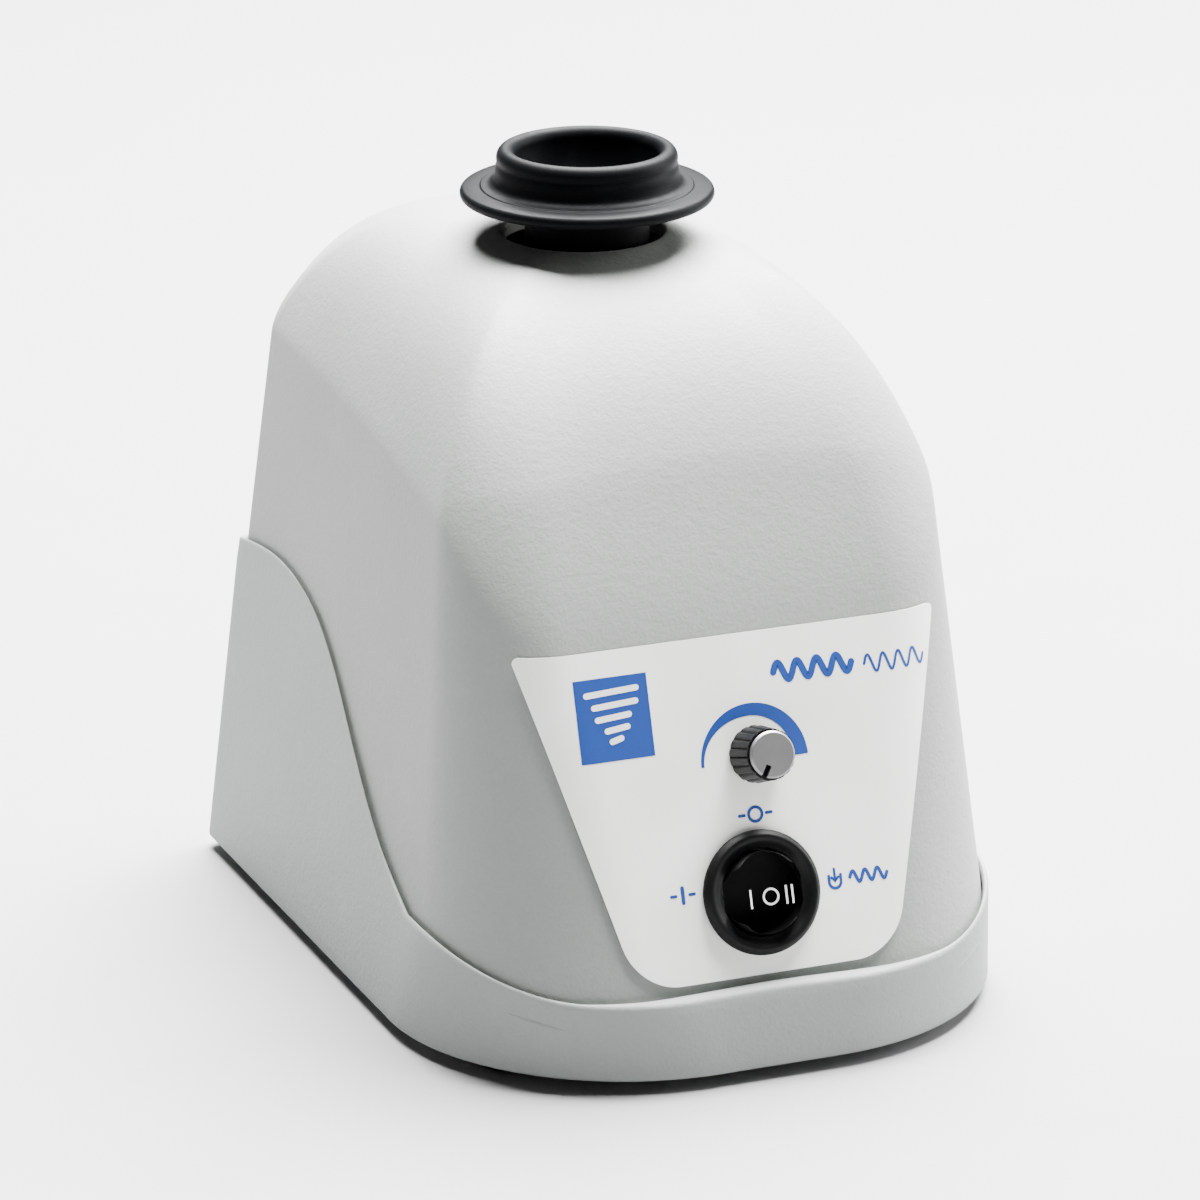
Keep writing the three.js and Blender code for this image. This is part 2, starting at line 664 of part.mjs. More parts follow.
const springLow = weightTop + PLAY + SPRING_WIRE;
const springHigh = carriageFoot - PLAY - SPRING_WIRE;
const SPRING_STEPS = 7; // straight lengths in each turn of the wire
const springs = atCorners(() => {
  const path = new Helix(SPRING_RADIUS - SPRING_WIRE, springLow, springHigh, SPRING_TURNS);
  return wireAlong(path, SPRING_WIRE, 4, SPRING_TURNS * SPRING_STEPS);
}).map((geometry, n) => piece("carriage_spring_" + (n + 1), geometry, steel));

// ---------------------------------------------------------------- motor and crank

const motorFoot = carriageTop + PLAY;
const motorTop = HOLE_Z - CRANK_ROOM;
const BELL_RADIUS = 20;
const BELL_HEIGHT = 5;
const shaftFoot = motorTop + PLAY + 1;
const MOTOR_SCREW_DEPTH = 5;

const motorCan = piece(
  "motor_can",
  cut(
    turned([
      [0, motorFoot],
      [MOTOR_RADIUS - 2, motorFoot],
      [MOTOR_RADIUS, motorFoot + 2],
      [MOTOR_RADIUS, motorTop - 7],
      [MOTOR_RADIUS - 3, motorTop - 4],
      [MOTOR_RADIUS - 3, motorTop],
      [0, motorTop],
    ]),
    ...atMotorScrews(() => rod(SCREW_RADIUS + PLAY, motorFoot - 1, motorFoot + MOTOR_SCREW_DEPTH, 12)),
  ),
  steel,
);

const motorBell = piece(
  "motor_end_bell",
  turned([
    [SHAFT_RADIUS + PLAY, motorTop + PLAY],
    [BELL_RADIUS, motorTop + PLAY],
    [BELL_RADIUS, motorTop + PLAY + 2],
    [SHAFT_RADIUS + 5, motorTop + PLAY + BELL_HEIGHT],
    [SHAFT_RADIUS + PLAY, motorTop + PLAY + BELL_HEIGHT],
    [SHAFT_RADIUS + PLAY, motorTop + PLAY],
  ]),
  aluminium,
);

const motorScrews = atMotorScrews(() =>
  join(
    rod(SCREW_RADIUS, carriageFoot - 1, motorFoot + MOTOR_SCREW_DEPTH - 1, 12),
    rod(SCREW_HEAD, carriageFoot - PLAY - 2, carriageFoot - PLAY, 12),
  ),
).map((geometry, n) => piece("motor_screw_" + (n + 1), geometry, steel));

const hubFoot = motorTop + PLAY + BELL_HEIGHT + PLAY;
const HUB_RADIUS = 9;
const HUB_HEIGHT = 11;
const hubTop = hubFoot + HUB_HEIGHT;
const CRANK_LENGTH = 14;

const motorShaft = piece("motor_shaft", rod(SHAFT_RADIUS, shaftFoot, hubTop - 3), steel);

const crankHub = piece(
  "crank_hub",
  cut(
    join(
      rod(HUB_RADIUS, hubFoot, hubTop, 24),
      rod(CRANK_RADIUS, hubTop - 1, hubTop + CRANK_LENGTH, 20).translate(0, -ORBIT, 0),
    ),
    rod(SHAFT_RADIUS + PLAY, hubFoot - 1, hubTop - 3 + PLAY),
  ),
  steel,
);

const COUNTERWEIGHT = { radius: 17, thick: 6, lift: 2 };
function counterweightShape() {
  const shape = new THREE.Shape();
  shape.absarc(0, 0, COUNTERWEIGHT.radius, Math.PI * 0.05, Math.PI * 0.95);
  shape.absarc(0, 0, HUB_RADIUS + PLAY, Math.PI * 0.95, Math.PI * 0.05, true);
  return shape;
}
const counterweightFoot = hubFoot + COUNTERWEIGHT.lift;
const counterweight = piece(
  "counterweight",
  slab(counterweightShape(), counterweightFoot, counterweightFoot + COUNTERWEIGHT.thick, 12),
  brass,
);

// ---------------------------------------------------------------- cup head

const head = new THREE.Group();
head.position.y = -ORBIT;

const bearingFoot = hubTop + 3;
const bearingTop = bearingFoot + BEARING_HEIGHT;
const HOLDER = { wall: 4.2, shoulder: 4 };
const skirtRadius = BEARING_RADIUS + PLAY + HOLDER.wall;

const bearing = piece(
  "cup_bearing",
  turned([
    [CRANK_RADIUS + PLAY, bearingFoot],
    [BEARING_RADIUS, bearingFoot],
    [BEARING_RADIUS, bearingTop],
    [CRANK_RADIUS + PLAY, bearingTop],
    [CRANK_RADIUS + PLAY, bearingFoot],
  ]),
  steel,
);

const holderFoot = bearingFoot - 1;
const holderShoulder = bearingTop + HOLDER.shoulder;
const spigotTop = cupFloorZ - 3;
const crankTop = hubTop + CRANK_LENGTH;
const holder = piece(
  "cup_holder",
  turned([
    [BEARING_RADIUS + PLAY, holderFoot],
    [skirtRadius, holderFoot],
    [skirtRadius, holderShoulder],
    [cupSocket - PLAY, holderShoulder],
    [cupSocket - PLAY, spigotTop - 1],
    [cupSocket - PLAY - 1, spigotTop],
    [0, spigotTop],
    [0, crankTop + 1],
    [CRANK_RADIUS + 1, crankTop + 1],
    [CRANK_RADIUS + 1, bearingTop + PLAY],
    [BEARING_RADIUS + PLAY, bearingTop + PLAY],
    [BEARING_RADIUS + PLAY, holderFoot],
  ]),
  aluminium,
);

const GUARD = { radius: 27, thick: 1.5, dish: 4 };
const guardZ = cupFootZ - PLAY - GUARD.thick;
const splashGuard = piece(
  "splash_guard",
  turned(
    [
      [cupSocket, guardZ],
      [cupNeck + 4, guardZ],
      [GUARD.radius, guardZ - GUARD.dish],
      [GUARD.radius, guardZ - GUARD.dish + GUARD.thick],
      [cupNeck + 4, guardZ + GUARD.thick],
      [cupSocket, guardZ + GUARD.thick],
      [cupSocket, guardZ],
    ],
    28,
  ),
  blackPlastic,
);

// Rubber cup: socket over the spigot, thin flange, and a rolled ring round the mouth.
function cupProfile() {
  const ringMid = (CUP.ringRadius + CUP.mouthRadius) / 2;
  const ringHalf = (CUP.ringRadius - CUP.mouthRadius) / 2;
  const flangeTop = cupFlangeZ + CUP.flangeThick / 2;
  const flangeLow = cupFlangeZ - CUP.flangeThick / 2;
  const roll = [0, 45, 90, 135, 180].map((deg) => {
    const a = (deg * Math.PI) / 180;
    return [ringMid + ringHalf * Math.cos(a), cupTopZ - ringHalf + ringHalf * Math.sin(a)];
  });
  return [
    [0, spigotTop + PLAY],
    [cupSocket - 1, spigotTop + PLAY],
    [cupSocket, spigotTop - 1 + PLAY],
    [cupSocket, cupFootZ],
    [cupNeck, cupFootZ],
    [cupNeck, flangeLow - 2],
    [cupNeck + 1.6, flangeLow],
    [CUP.flangeRadius - 0.8, flangeLow],
    [CUP.flangeRadius, cupFlangeZ],
    [CUP.flangeRadius - 1, flangeTop - 0.6],
    [CUP.ringRadius + 3.4, flangeTop - 0.3],
    [CUP.ringRadius + 2.8, flangeTop],
    [CUP.ringRadius + 0.6, flangeTop + 0.2],
    ...roll,
    [CUP.mouthRadius - 0.6, cupTopZ - 4.5],
    [CUP.mouthRadius - 3, cupFloorZ + 3.2],
    [CUP.mouthRadius - 8, cupFloorZ + 0.8],
    [0, cupFloorZ],
  ];
}
const rubberCup = piece("rubber_cup", turned(cupProfile(), 28), rubber);
head.add(bearing, holder, splashGuard, rubberCup);

// Bellows between the motor and the cup holder: they let the cup orbit but not turn.
const gaiterFoot = motorTop + PLAY;
const gaiterTop = holderFoot - PLAY;
const GAITER = { foot: BELL_RADIUS + PLAY, out: 23.4, waist: 21.2, neck: BEARING_RADIUS + 3, skin: 1 };
function gaiterProfile() {
  const rise = (gaiterTop - gaiterFoot - 5) / 2;
  const outside = [
    [GAITER.out - 1.6, gaiterFoot],
    [GAITER.out, gaiterFoot + rise * 0.5],
    [GAITER.waist, gaiterFoot + rise],
    [GAITER.out, gaiterFoot + rise * 1.5],
    [GAITER.waist, gaiterFoot + rise * 2],
    [GAITER.neck + 2, gaiterTop - 1.2],
    [GAITER.neck + 2, gaiterTop],
  ];
  const inside = [
    [GAITER.neck, gaiterTop],
    [GAITER.neck, gaiterTop - 1.4],
    [GAITER.waist - 1.4, gaiterFoot + rise * 2 - GAITER.skin],
    [GAITER.out - GAITER.skin - 0.3, gaiterFoot + rise * 1.5],
    [GAITER.waist - GAITER.skin, gaiterFoot + rise],
    [GAITER.out - GAITER.skin - 0.3, gaiterFoot + rise * 0.5],
    [GAITER.foot, gaiterFoot],
  ];
  return [...outside, ...inside, outside[0]];
}
const gaiter = piece("drive_gaiter", turned(gaiterProfile()), rubber);

drive.add(weight, carriage, ...guidePins, ...springs, motorCan, motorBell, ...motorScrews);
drive.add(motorShaft, crankHub, counterweight, gaiter, head);

// ---------------------------------------------------------------- touch switch under the carriage

const TOUCH = {
  x0: -10,
  x1: 10,
  y: -24,
  foot: weightTop + 4.1,
  top: carriageFoot - 5.4,
  pivotX: -7,
  pivotZ: carriageFoot - 4.1,
  tipX: 9,
  tipZ: carriageFoot - 1.2,
};
const BRACKET = { thick: 1.5, back: TOUCH.y - 8, front: TOUCH.y + 3.2, foot: weightTop + PLAY };
const touchBracket = piece(
  "touch_bracket",
  join(
    block(TOUCH.x0, BRACKET.back, BRACKET.foot, TOUCH.x1, BRACKET.front, BRACKET.foot + BRACKET.thick),
    block(TOUCH.x0, BRACKET.back, BRACKET.foot, TOUCH.x1, BRACKET.back + BRACKET.thick, TOUCH.top),
  ),
  steel,
);
const switchBack = BRACKET.back + BRACKET.thick + PLAY;
const touchSwitch = piece(
  "touch_switch",
  block(TOUCH.x0, switchBack, TOUCH.foot, TOUCH.x1, BRACKET.front - PLAY, TOUCH.top),
  blackPlastic,
);
function leverShape() {
  const shape = new THREE.Shape();
  shape.absarc(TOUCH.pivotX, TOUCH.pivotZ, 0.9, Math.PI * 0.6, Math.PI * 1.7);
  shape.lineTo(TOUCH.tipX, TOUCH.tipZ - 0.6);
  shape.absarc(TOUCH.tipX, TOUCH.tipZ, 0.8, -Math.PI / 2, Math.PI * 0.6);
  return shape;
}
const touchLever = piece(
  "touch_lever",
  slab(leverShape(), -2, 2, 4).rotateX(Math.PI / 2).translate(0, TOUCH.y, 0),
  steel,
);
drive.add(touchBracket, touchSwitch, touchLever);

// ---------------------------------------------------------------- front panel

// Depth of the cover's front face at one place, walls leaning and corners rounded.
function frontV(x, z, inset) {
  const p = planAt(COVER, z, inset);
  const past = Math.abs(x) - (p.frontHalf - p.radius);
  return past <= 0 ? p.front : p.front - p.radius + Math.sqrt(p.radius ** 2 - past ** 2);
}

function labelFilmShape() {
  const rows = [0, 0.15, 0.5, 1].map((f) => LABEL.bottom + f * LABEL.corner);
  for (const f of [1 / 3, 2 / 3, 1]) rows.push(mix(LABEL.bottom + LABEL.corner, LABEL.top, f));
  const columns = 12;
  const halfAt = (up) => {
    const straight = mix(LABEL.bottomHalf, LABEL.topHalf, (up - LABEL.bottom) / (LABEL.top - LABEL.bottom));
    const below = Math.max(LABEL.corner - (up - LABEL.bottom), 0);
    return straight - LABEL.corner + Math.sqrt(LABEL.corner ** 2 - below ** 2);
  };
  const layer = (inset) =>
    rows.map((up) =>
      Array.from({ length: columns + 1 }, (_, c) => {
        const x = -halfAt(up) * Math.cos((Math.PI * c) / columns);
        const z = PANEL_FOOT_Z + up * Math.cos(PANEL_LEAN);
        return toWorld(x, frontV(x, z, inset), z);
      }),
    );
  const outer = layer(-LABEL.gap - LABEL.thick);
  const inner = layer(-LABEL.gap);
  return sheet(outer, inner);
}

const LABEL_KNOB_HOLE = KNOB_HOLE + PLAY;
const LABEL_SWITCH_HOLE = SWITCH_HOLE + PLAY;
const label = piece(
  "front_label",
  cut(
    labelFilmShape(),
    onWorld(rod(LABEL_KNOB_HOLE, -8, 8), knobPlace),
    onWorld(rod(LABEL_SWITCH_HOLE, -8, 8, 32), switchPlace),
  ),
  labelFilm,
);

// Speed control: potentiometer behind the panel, nut and fluted knob in front of it.
const potBack = -COVER_WALL * Math.cos(PANEL_LEAN) - PLAY;
const POT = { radius: 8, depth: 9, floor: potBack - 4, bush: 3.4, nut: 4.7, shaft: 2 };
const KNOB = { base: 5.9, tip: 5.2, foot: 1.2, length: 9.2, crown: 2, flutes: 18, flute: 0.45, cap: 4.8 };
const CAP_THICK = 0.8;
const labelFace = LABEL.gap + LABEL.thick;
const bushTop = labelFace + PLAY + 1.9;

const pot = piece(
  "speed_pot",
  turned([
    [0, potBack - POT.depth],
    [POT.radius, potBack - POT.depth],
    [POT.radius, potBack],
    [POT.bush, potBack],
    [POT.bush, bushTop],
    [POT.shaft + PLAY, bushTop],
    [POT.shaft + PLAY, POT.floor],
    [0, POT.floor],
  ]),
  steel,
);

const potNut = piece(
  "pot_nut",
  cut(rod(POT.nut, labelFace + PLAY, labelFace + PLAY + 1.6, 6), rod(POT.bush + PLAY, -1, 4)),
  brass,
);

const shaftEnd = KNOB.foot + KNOB.length - KNOB.crown;
const potShaft = piece("pot_shaft", rod(POT.shaft, POT.floor + PLAY, shaftEnd), steel);

function fluted(radius, z0, z1, taper) {
  const count = KNOB.flutes * 4;
  const ringAt = (r, z) =>
    Array.from({ length: count }, (_, n) => {
      const a = (2 * Math.PI * n) / count;
      const groove = n % 4 === 0 ? KNOB.flute : 0;
      return new THREE.Vector3((r - groove) * Math.cos(a), (r - groove) * Math.sin(a), z);
    });
  return loft([ringAt(radius * taper, z1), ringAt(radius, z0)], false);
}

const knobTop = KNOB.foot + KNOB.length - CAP_THICK - PLAY;
const knob = piece(
  "speed_knob",
  cut(
    fluted(KNOB.base, KNOB.foot, knobTop, KNOB.tip / KNOB.base),
    rod(POT.nut + PLAY, KNOB.foot - 1, bushTop + PLAY),
    rod(POT.shaft + PLAY, 0, shaftEnd + PLAY),
  ),
  blackPlastic,
);

const POINTER_DEG = 210; // clockwise from straight up, the slowest setting
const POINTER = { half: 0.6, inner: 1.7 };
function pointerSlot() {
  const slot = block(-POINTER.half, POINTER.inner, -CAP_THICK, POINTER.half, KNOB.cap + 1, CAP_THICK);
  return slot.rotateZ((-POINTER_DEG * Math.PI) / 180).translate(0, 0, knobTop + PLAY + CAP_THICK / 2);
}
const knobCap = piece(
  "knob_cap",
  cut(rod(KNOB.cap, knobTop + PLAY, knobTop + PLAY + CAP_THICK, 36), pointerSlot()),
  aluminium,
);
knobPlace.add(pot, potNut, potShaft, knob, knobCap);

// Three-position rocker switch in a round bezel.
const ROCKER = { half: 7.7, reach: 8.4, rise: 4.9, swing: 8, pivot: -0.6, depth: 3.4 };
const BEZEL = { radius: 12.7, thick: 2.1, gap: 0.55 };

// Rocker section: flat-bottomed, round-sided about its pivot, with a shallow V on top.
function rockerSection() {
  const side = (z) => Math.sqrt(ROCKER.swing ** 2 - (z - ROCKER.pivot) ** 2);
  const heights = [ROCKER.pivot - 2, ROCKER.pivot, 1, 2.4, 3.6, ROCKER.rise - 0.4];
  const levels = heights.map((z) => [side(z), z]);
  const shape = new THREE.Shape();
  shape.moveTo(-levels[0][0], levels[0][1]);
  levels.forEach(([x, z]) => shape.lineTo(x, z));
  shape.lineTo(ROCKER.half * 0.62, ROCKER.rise);
  shape.lineTo(0, ROCKER.rise - 1);
  shape.lineTo(-ROCKER.half * 0.62, ROCKER.rise);
  levels
    .slice(1)
    .reverse()
    .forEach(([x, z]) => shape.lineTo(-x, z));
  return shape;
}

// Extrudes a section drawn in x and z along the slope of the panel.
const acrossPanel = (shape, half) => slab(shape, -half, half).rotateX(Math.PI / 2);

const rockerSolid = common(acrossPanel(rockerSection(), THROUGH), rod(ROCKER.reach, -THROUGH, THROUGH, 32));
const rocker = piece("power_rocker", rockerSolid, blackPlastic);

function rockerWindow(z0, z1) {
  const halfX = ROCKER.swing + BEZEL.gap;
  const sides = block(-halfX, -THROUGH, z0, halfX, THROUGH, z1);
  return common(sides, rod(ROCKER.reach + BEZEL.gap, z0, z1, 32));
}

const bezelFoot = labelFace + PLAY;
const bezel = piece(
  "switch_bezel",
  cut(
    turned(
      [
        [0, bezelFoot],
        [BEZEL.radius, bezelFoot],
        [BEZEL.radius, bezelFoot + 0.9],
        [BEZEL.radius - 1.4, bezelFoot + BEZEL.thick],
        [0, bezelFoot + BEZEL.thick],
      ],
      36,
    ),
    rockerWindow(-1, 6),
  ),
  blackPlastic,
);

const SWITCH_DEPTH = 17;
const switchBody = piece(
  "switch_body",
  cut(
    rod(SWITCH_HOLE - PLAY, -SWITCH_DEPTH, bezelFoot - PLAY, 32),
    rockerWindow(ROCKER.pivot - ROCKER.depth, THROUGH),
  ),
  blackPlastic,
);
const terminals = [-1, 0, 1].map((n) =>
  piece(
    "switch_terminal_" + (n + 2),
    block(n * 5.4 - 0.4, -2.4, -SWITCH_DEPTH - PLAY - 8, n * 5.4 + 0.4, 2.4, -SWITCH_DEPTH - PLAY),
    brass,
  ),
);
switchPlace.add(bezel, switchBody, rocker, ...terminals);

// Control board behind the potentiometer, parts on its rear face.
const BOARD = { half: 29, low: -15.5, high: 19, thick: 1.6 };
const boardFront = potBack - POT.depth - PLAY;
const boardBack = boardFront - BOARD.thick;
const behind = (x0, y0, x1, y1, tall) => block(x0, y0, boardBack - PLAY - tall, x1, y1, boardBack - PLAY);
const boardShape = block(-BOARD.half, BOARD.low, boardBack, BOARD.half, BOARD.high, boardFront);
const board = piece("control_board", boardShape, boardGreen);
const transformer = piece("board_transformer", behind(-26, -2, -6, 16, 13), copper);
const capacitor = piece(
  "board_capacitor",
  rod(4, boardBack - PLAY - 14, boardBack - PLAY, 20).translate(8, 10, 0),
  aluminium,
);
const heatSink = piece(
  "triac_heat_sink",
  join(
    behind(15, -2, 27, 0, 14),
    ...[0, 1, 2, 3].map((n) => behind(15 + n * 3.6, -1, 16.2 + n * 3.6, 14, 14)),
  ),
  aluminium,
);
const terminalBlock = piece("terminal_block", behind(-14, -13.5, 14, -5, 9), blackPlastic);
knobPlace.add(board, transformer, capacitor, heatSink, terminalBlock);

// ---------------------------------------------------------------- mains inlet and rating plate

const inlet = new THREE.Group();
inlet.position.set(0, REAR_Y, INLET.z + FOOT_GAP);
inlet.rotation.x = Math.PI / 2;
inlet.rotation.y = Math.PI;

const SOCKET = { half: 12.2, halfHeight: 8.4, chamfer: 4, depth: 15 };
function socketShape(grow) {
  const { half, halfHeight, chamfer } = SOCKET;
  const shape = new THREE.Shape();
  shape.moveTo(-half - grow, -halfHeight - grow);
  shape.lineTo(half + grow, -halfHeight - grow);
  shape.lineTo(half + grow, halfHeight + grow - chamfer);
  shape.lineTo(half + grow - chamfer, halfHeight + grow);
  shape.lineTo(-half - grow + chamfer, halfHeight + grow);
  shape.lineTo(-half - grow, halfHeight + grow - chamfer);
  return shape;
}
const contacts = [
  ["line", 7, -2],
  ["neutral", -7, -2],
  ["earth", 0, 3.2],
];
const CONTACT = { halfWide: 1, halfTall: 2 };
const contactBlock = (x, y, grow, z0, z1) =>
  block(
    x - CONTACT.halfWide - grow,
    y - CONTACT.halfTall - grow,
    z0,
    x + CONTACT.halfWide + grow,
    y + CONTACT.halfTall + grow,
    z1,
  );
const flangeBack = -0.1;
const INLET_SINK = 0.8;
const inletHousing = piece(
  "inlet_housing",
  cut(
    join(
      slab(roundedRect(INLET.width / 2, INLET.height / 2, INLET.corner), flangeBack, INLET.proud, 3),
      slab(roundedRect(INLET_BODY.width / 2, INLET_BODY.height / 2, INLET_BODY.corner), -INLET.depth, 0, 2),
    ),
    slab(socketShape(0), INLET.proud - SOCKET.depth, INLET.proud + 1),
    ...contacts.map(([, x, y]) => contactBlock(x, y, PLAY, -INLET.depth - 1, 0)),
    ...[-1, 1].map((side) => rod(SCREW_RADIUS + PLAY, -2, 4, 12).translate(side * INLET_SCREW_X, 0, 0)),
    ...[-1, 1].map((side) => rod(SCREW_HEAD + PLAY, INLET_SINK, 4, 16).translate(side * INLET_SCREW_X, 0, 0)),
  ),
  blackPlastic,
);
const inletPins = contacts.map(([use, x, y]) =>
  piece("inlet_pin_" + use, contactBlock(x, y, 0, -INLET.depth - 7, INLET.proud - 2.5), brass),
);
const inletScrews = [-1, 1].map((side, n) =>
  piece(
    "inlet_screw_" + (n + 1),
    join(
      rod(SCREW_RADIUS, -5, INLET.proud - 0.5, 12),
      rod(SCREW_HEAD, INLET_SINK + PLAY, INLET.proud - 0.1, 16),
    ).translate(side * INLET_SCREW_X, 0, 0),
    steel,
  ),
);
inlet.add(inletHousing, ...inletPins, ...inletScrews);

const PLATE = { halfX: 24, low: 50.5, high: 65, thick: 0.4 };
const plateBack = REAR_Y - TRAY.rearDraft * PLATE.low + PLAY;
const plateFace = plateBack + PLATE.thick;
const plateShape = block(-PLATE.halfX, plateBack, PLATE.low, PLATE.halfX, plateFace, PLATE.high);
const ratingPlate = piece("rating_plate", plateShape.translate(0, 0, FOOT_GAP), aluminium);

// ---------------------------------------------------------------- assembly

const mixer = new THREE.Group();
mixer.add(cover, tray, ...housingScrews, ...feet, drive, label, knobPlace, switchPlace, inlet, ratingPlate);
mixer.updateMatrixWorld(true);

export default mixer;
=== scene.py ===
# Vortex mixer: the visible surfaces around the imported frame.
# Sizes are in millimetres until a piece is finished, when its mesh is scaled to metres.

import json
import math

import bmesh
import bpy
from mathutils import Matrix, Vector, noise

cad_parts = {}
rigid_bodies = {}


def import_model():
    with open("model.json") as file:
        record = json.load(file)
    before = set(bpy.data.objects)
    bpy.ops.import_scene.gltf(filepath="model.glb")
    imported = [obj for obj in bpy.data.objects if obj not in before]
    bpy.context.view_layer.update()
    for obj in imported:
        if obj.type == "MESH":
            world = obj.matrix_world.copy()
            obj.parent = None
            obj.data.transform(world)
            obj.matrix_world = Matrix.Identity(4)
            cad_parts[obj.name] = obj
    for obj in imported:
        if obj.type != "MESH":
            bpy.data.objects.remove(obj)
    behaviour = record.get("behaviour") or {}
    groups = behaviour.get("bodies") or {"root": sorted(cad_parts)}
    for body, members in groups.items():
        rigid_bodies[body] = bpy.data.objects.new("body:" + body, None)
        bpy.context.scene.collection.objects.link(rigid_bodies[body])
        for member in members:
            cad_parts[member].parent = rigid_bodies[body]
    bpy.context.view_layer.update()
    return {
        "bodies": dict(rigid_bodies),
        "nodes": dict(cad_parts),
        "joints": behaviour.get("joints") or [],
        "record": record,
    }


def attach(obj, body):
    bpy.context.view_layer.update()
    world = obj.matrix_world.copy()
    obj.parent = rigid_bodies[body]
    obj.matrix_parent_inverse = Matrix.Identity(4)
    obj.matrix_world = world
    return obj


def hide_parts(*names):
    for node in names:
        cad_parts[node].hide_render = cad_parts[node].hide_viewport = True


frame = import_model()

MM = 0.001

# ------------------------------------------------------------------ sizes, as the frame has them

BODY_DEPTH = 171.0
FOOT_GAP = 2.5
PLAY = 0.3
REAR_Y = (BODY_DEPTH - 2.0) / 2
AXIS_V = 65.7
AXIS_Y = REAR_Y - AXIS_V
ORBIT = 2.25

TRAY = dict(rear_half=63.8, front_half=65.0, draft=0.115, draft_front=0.115, lean=0.13,
            rear_draft=0.02, setback=0.0, front_setback=0.0, rear_radius=4.0, radius=52.0, radius_draft=0.45)
COVER = dict(rear_half=63.2, front_half=62.3, draft=0.128, draft_front=0.082, lean=0.324,
             rear_draft=0.02, setback=2.4, front_setback=-1.3, rear_radius=3.0, radius=40.0, radius_draft=0.23)
COVER_WALL = 3.0
TRAY_WALL = 2.6
TRAY_FLOOR = 2.6
LIP_SEAT = 5.5
LIP_ROUND = 1.3
SEAT_GAP = 0.5
SHOULDER_Z = 116.0
ARCH_RISE = 23.2
CREASE_FALL = 0.0008
BEND_Z = 94.0
DOME_POWER = 4.1
DOME_POWER_FRONT = 3.1
DOME_SOFTNESS = 0.34
CREASE_RADIUS = 1.2
BEND_RADIUS = 11.0
HOLE_RADIUS = 17.6
HOLE_Z = 147.6
HOLE_EDGE = 0.8
LIP_SIDE = ((0, 68.5), (25, 71.3), (45, 68.6), (60, 61), (80, 46), (100, 32.5), (118, 24))
LIP_CORNER = 16.4
LIP_FRONT = 16.8

PANEL_LEAN = math.atan(COVER["lean"])
PANEL_FOOT_Z = 17.3
KNOB_X = 2.4
KNOB_UP = 44.5
SWITCH_UP = 16.8
LABEL = dict(bottom=0.6, top=69.4, bottom_half=28.3, top_half=46.4, corner=9.0, gap=0.5, thick=0.35)
LABEL_FACE = LABEL["gap"] + LABEL["thick"]


# ------------------------------------------------------------------ small tools

def mix(a, b, t):
    return a + (b - a) * t


def smooth(t):
    t = min(max(t, 0.0), 1.0)
    return t * t * (3 - 2 * t)


def world(x, v, z):
    """A point given across, forward from the rear wall, and up from the underside of the tray."""
    return Vector((x, REAR_Y - v, z + FOOT_GAP))


def piece(name, bm, material, body="root", shade_angle=35):
    """Turns a bmesh in millimetres into a finished object that rides on a body."""
    bmesh.ops.remove_doubles(bm, verts=bm.verts, dist=0.0005)
    bmesh.ops.recalc_face_normals(bm, faces=bm.faces)
    bmesh.ops.scale(bm, vec=(MM, MM, MM), verts=bm.verts)
    mesh = bpy.data.meshes.new(name)
    bm.to_mesh(mesh)
    bm.free()
    return finished(name, mesh, material, body, shade_angle)


def finished(name, mesh, material, body, shade_angle):
    mesh.materials.clear()
    mesh.materials.append(material)
    for polygon in mesh.polygons:
        polygon.use_smooth = True
    mesh.set_sharp_from_angle(angle=math.radians(shade_angle))
    thing = bpy.data.objects.new(name, mesh)
    bpy.context.scene.collection.objects.link(thing)
    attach(thing, body)
    return thing


def grid_surface(columns, rows, place, closed):
    """A grid whose vertices are set by place(column, row); closed joins the last column to the first."""
    bm = bmesh.new()
    bmesh.ops.create_grid(bm, x_segments=columns, y_segments=rows, size=0.5)
    for vert in bm.verts:
        column = round((vert.co.x + 0.5) * columns)
        row = round((vert.co.y + 0.5) * rows)
        vert.co = place(column % columns if closed else column, row)
    bmesh.ops.remove_doubles(bm, verts=bm.verts, dist=0.0005)
    return bm


def turned(profile, segments=96):
    """Solid of revolution about +Z from (radius, z) pairs."""
    bm = bmesh.new()
    verts = [bm.verts.new((r, 0, z)) for r, z in profile]
    edges = [bm.edges.new(pair) for pair in zip(verts, verts[1:])]
    bmesh.ops.spin(bm, geom=verts + edges, cent=(0, 0, 0), axis=(0, 0, 1), angle=math.tau,
                   steps=segments, use_merge=True)
    bmesh.ops.remove_doubles(bm, verts=bm.verts, dist=0.0005)
    return bm


def rounded(profile, radius, steps=4):
    """Rounds the inner corners of a profile with arcs that are at most the given radius."""
    points = [Vector(p) for p in profile]
    out = [points[0]]
    for before, corner, after in zip(points, points[1:], points[2:]):
        room = min(radius, (before - corner).length * 0.45, (after - corner).length * 0.45)
        a = corner + (before - corner).normalized() * room
        b = corner + (after - corner).normalized() * room
        out += [a.lerp(corner, t).lerp(corner.lerp(b, t), t) for t in (n / steps for n in range(steps + 1))]
    return [tuple(p) for p in out + [points[-1]]]


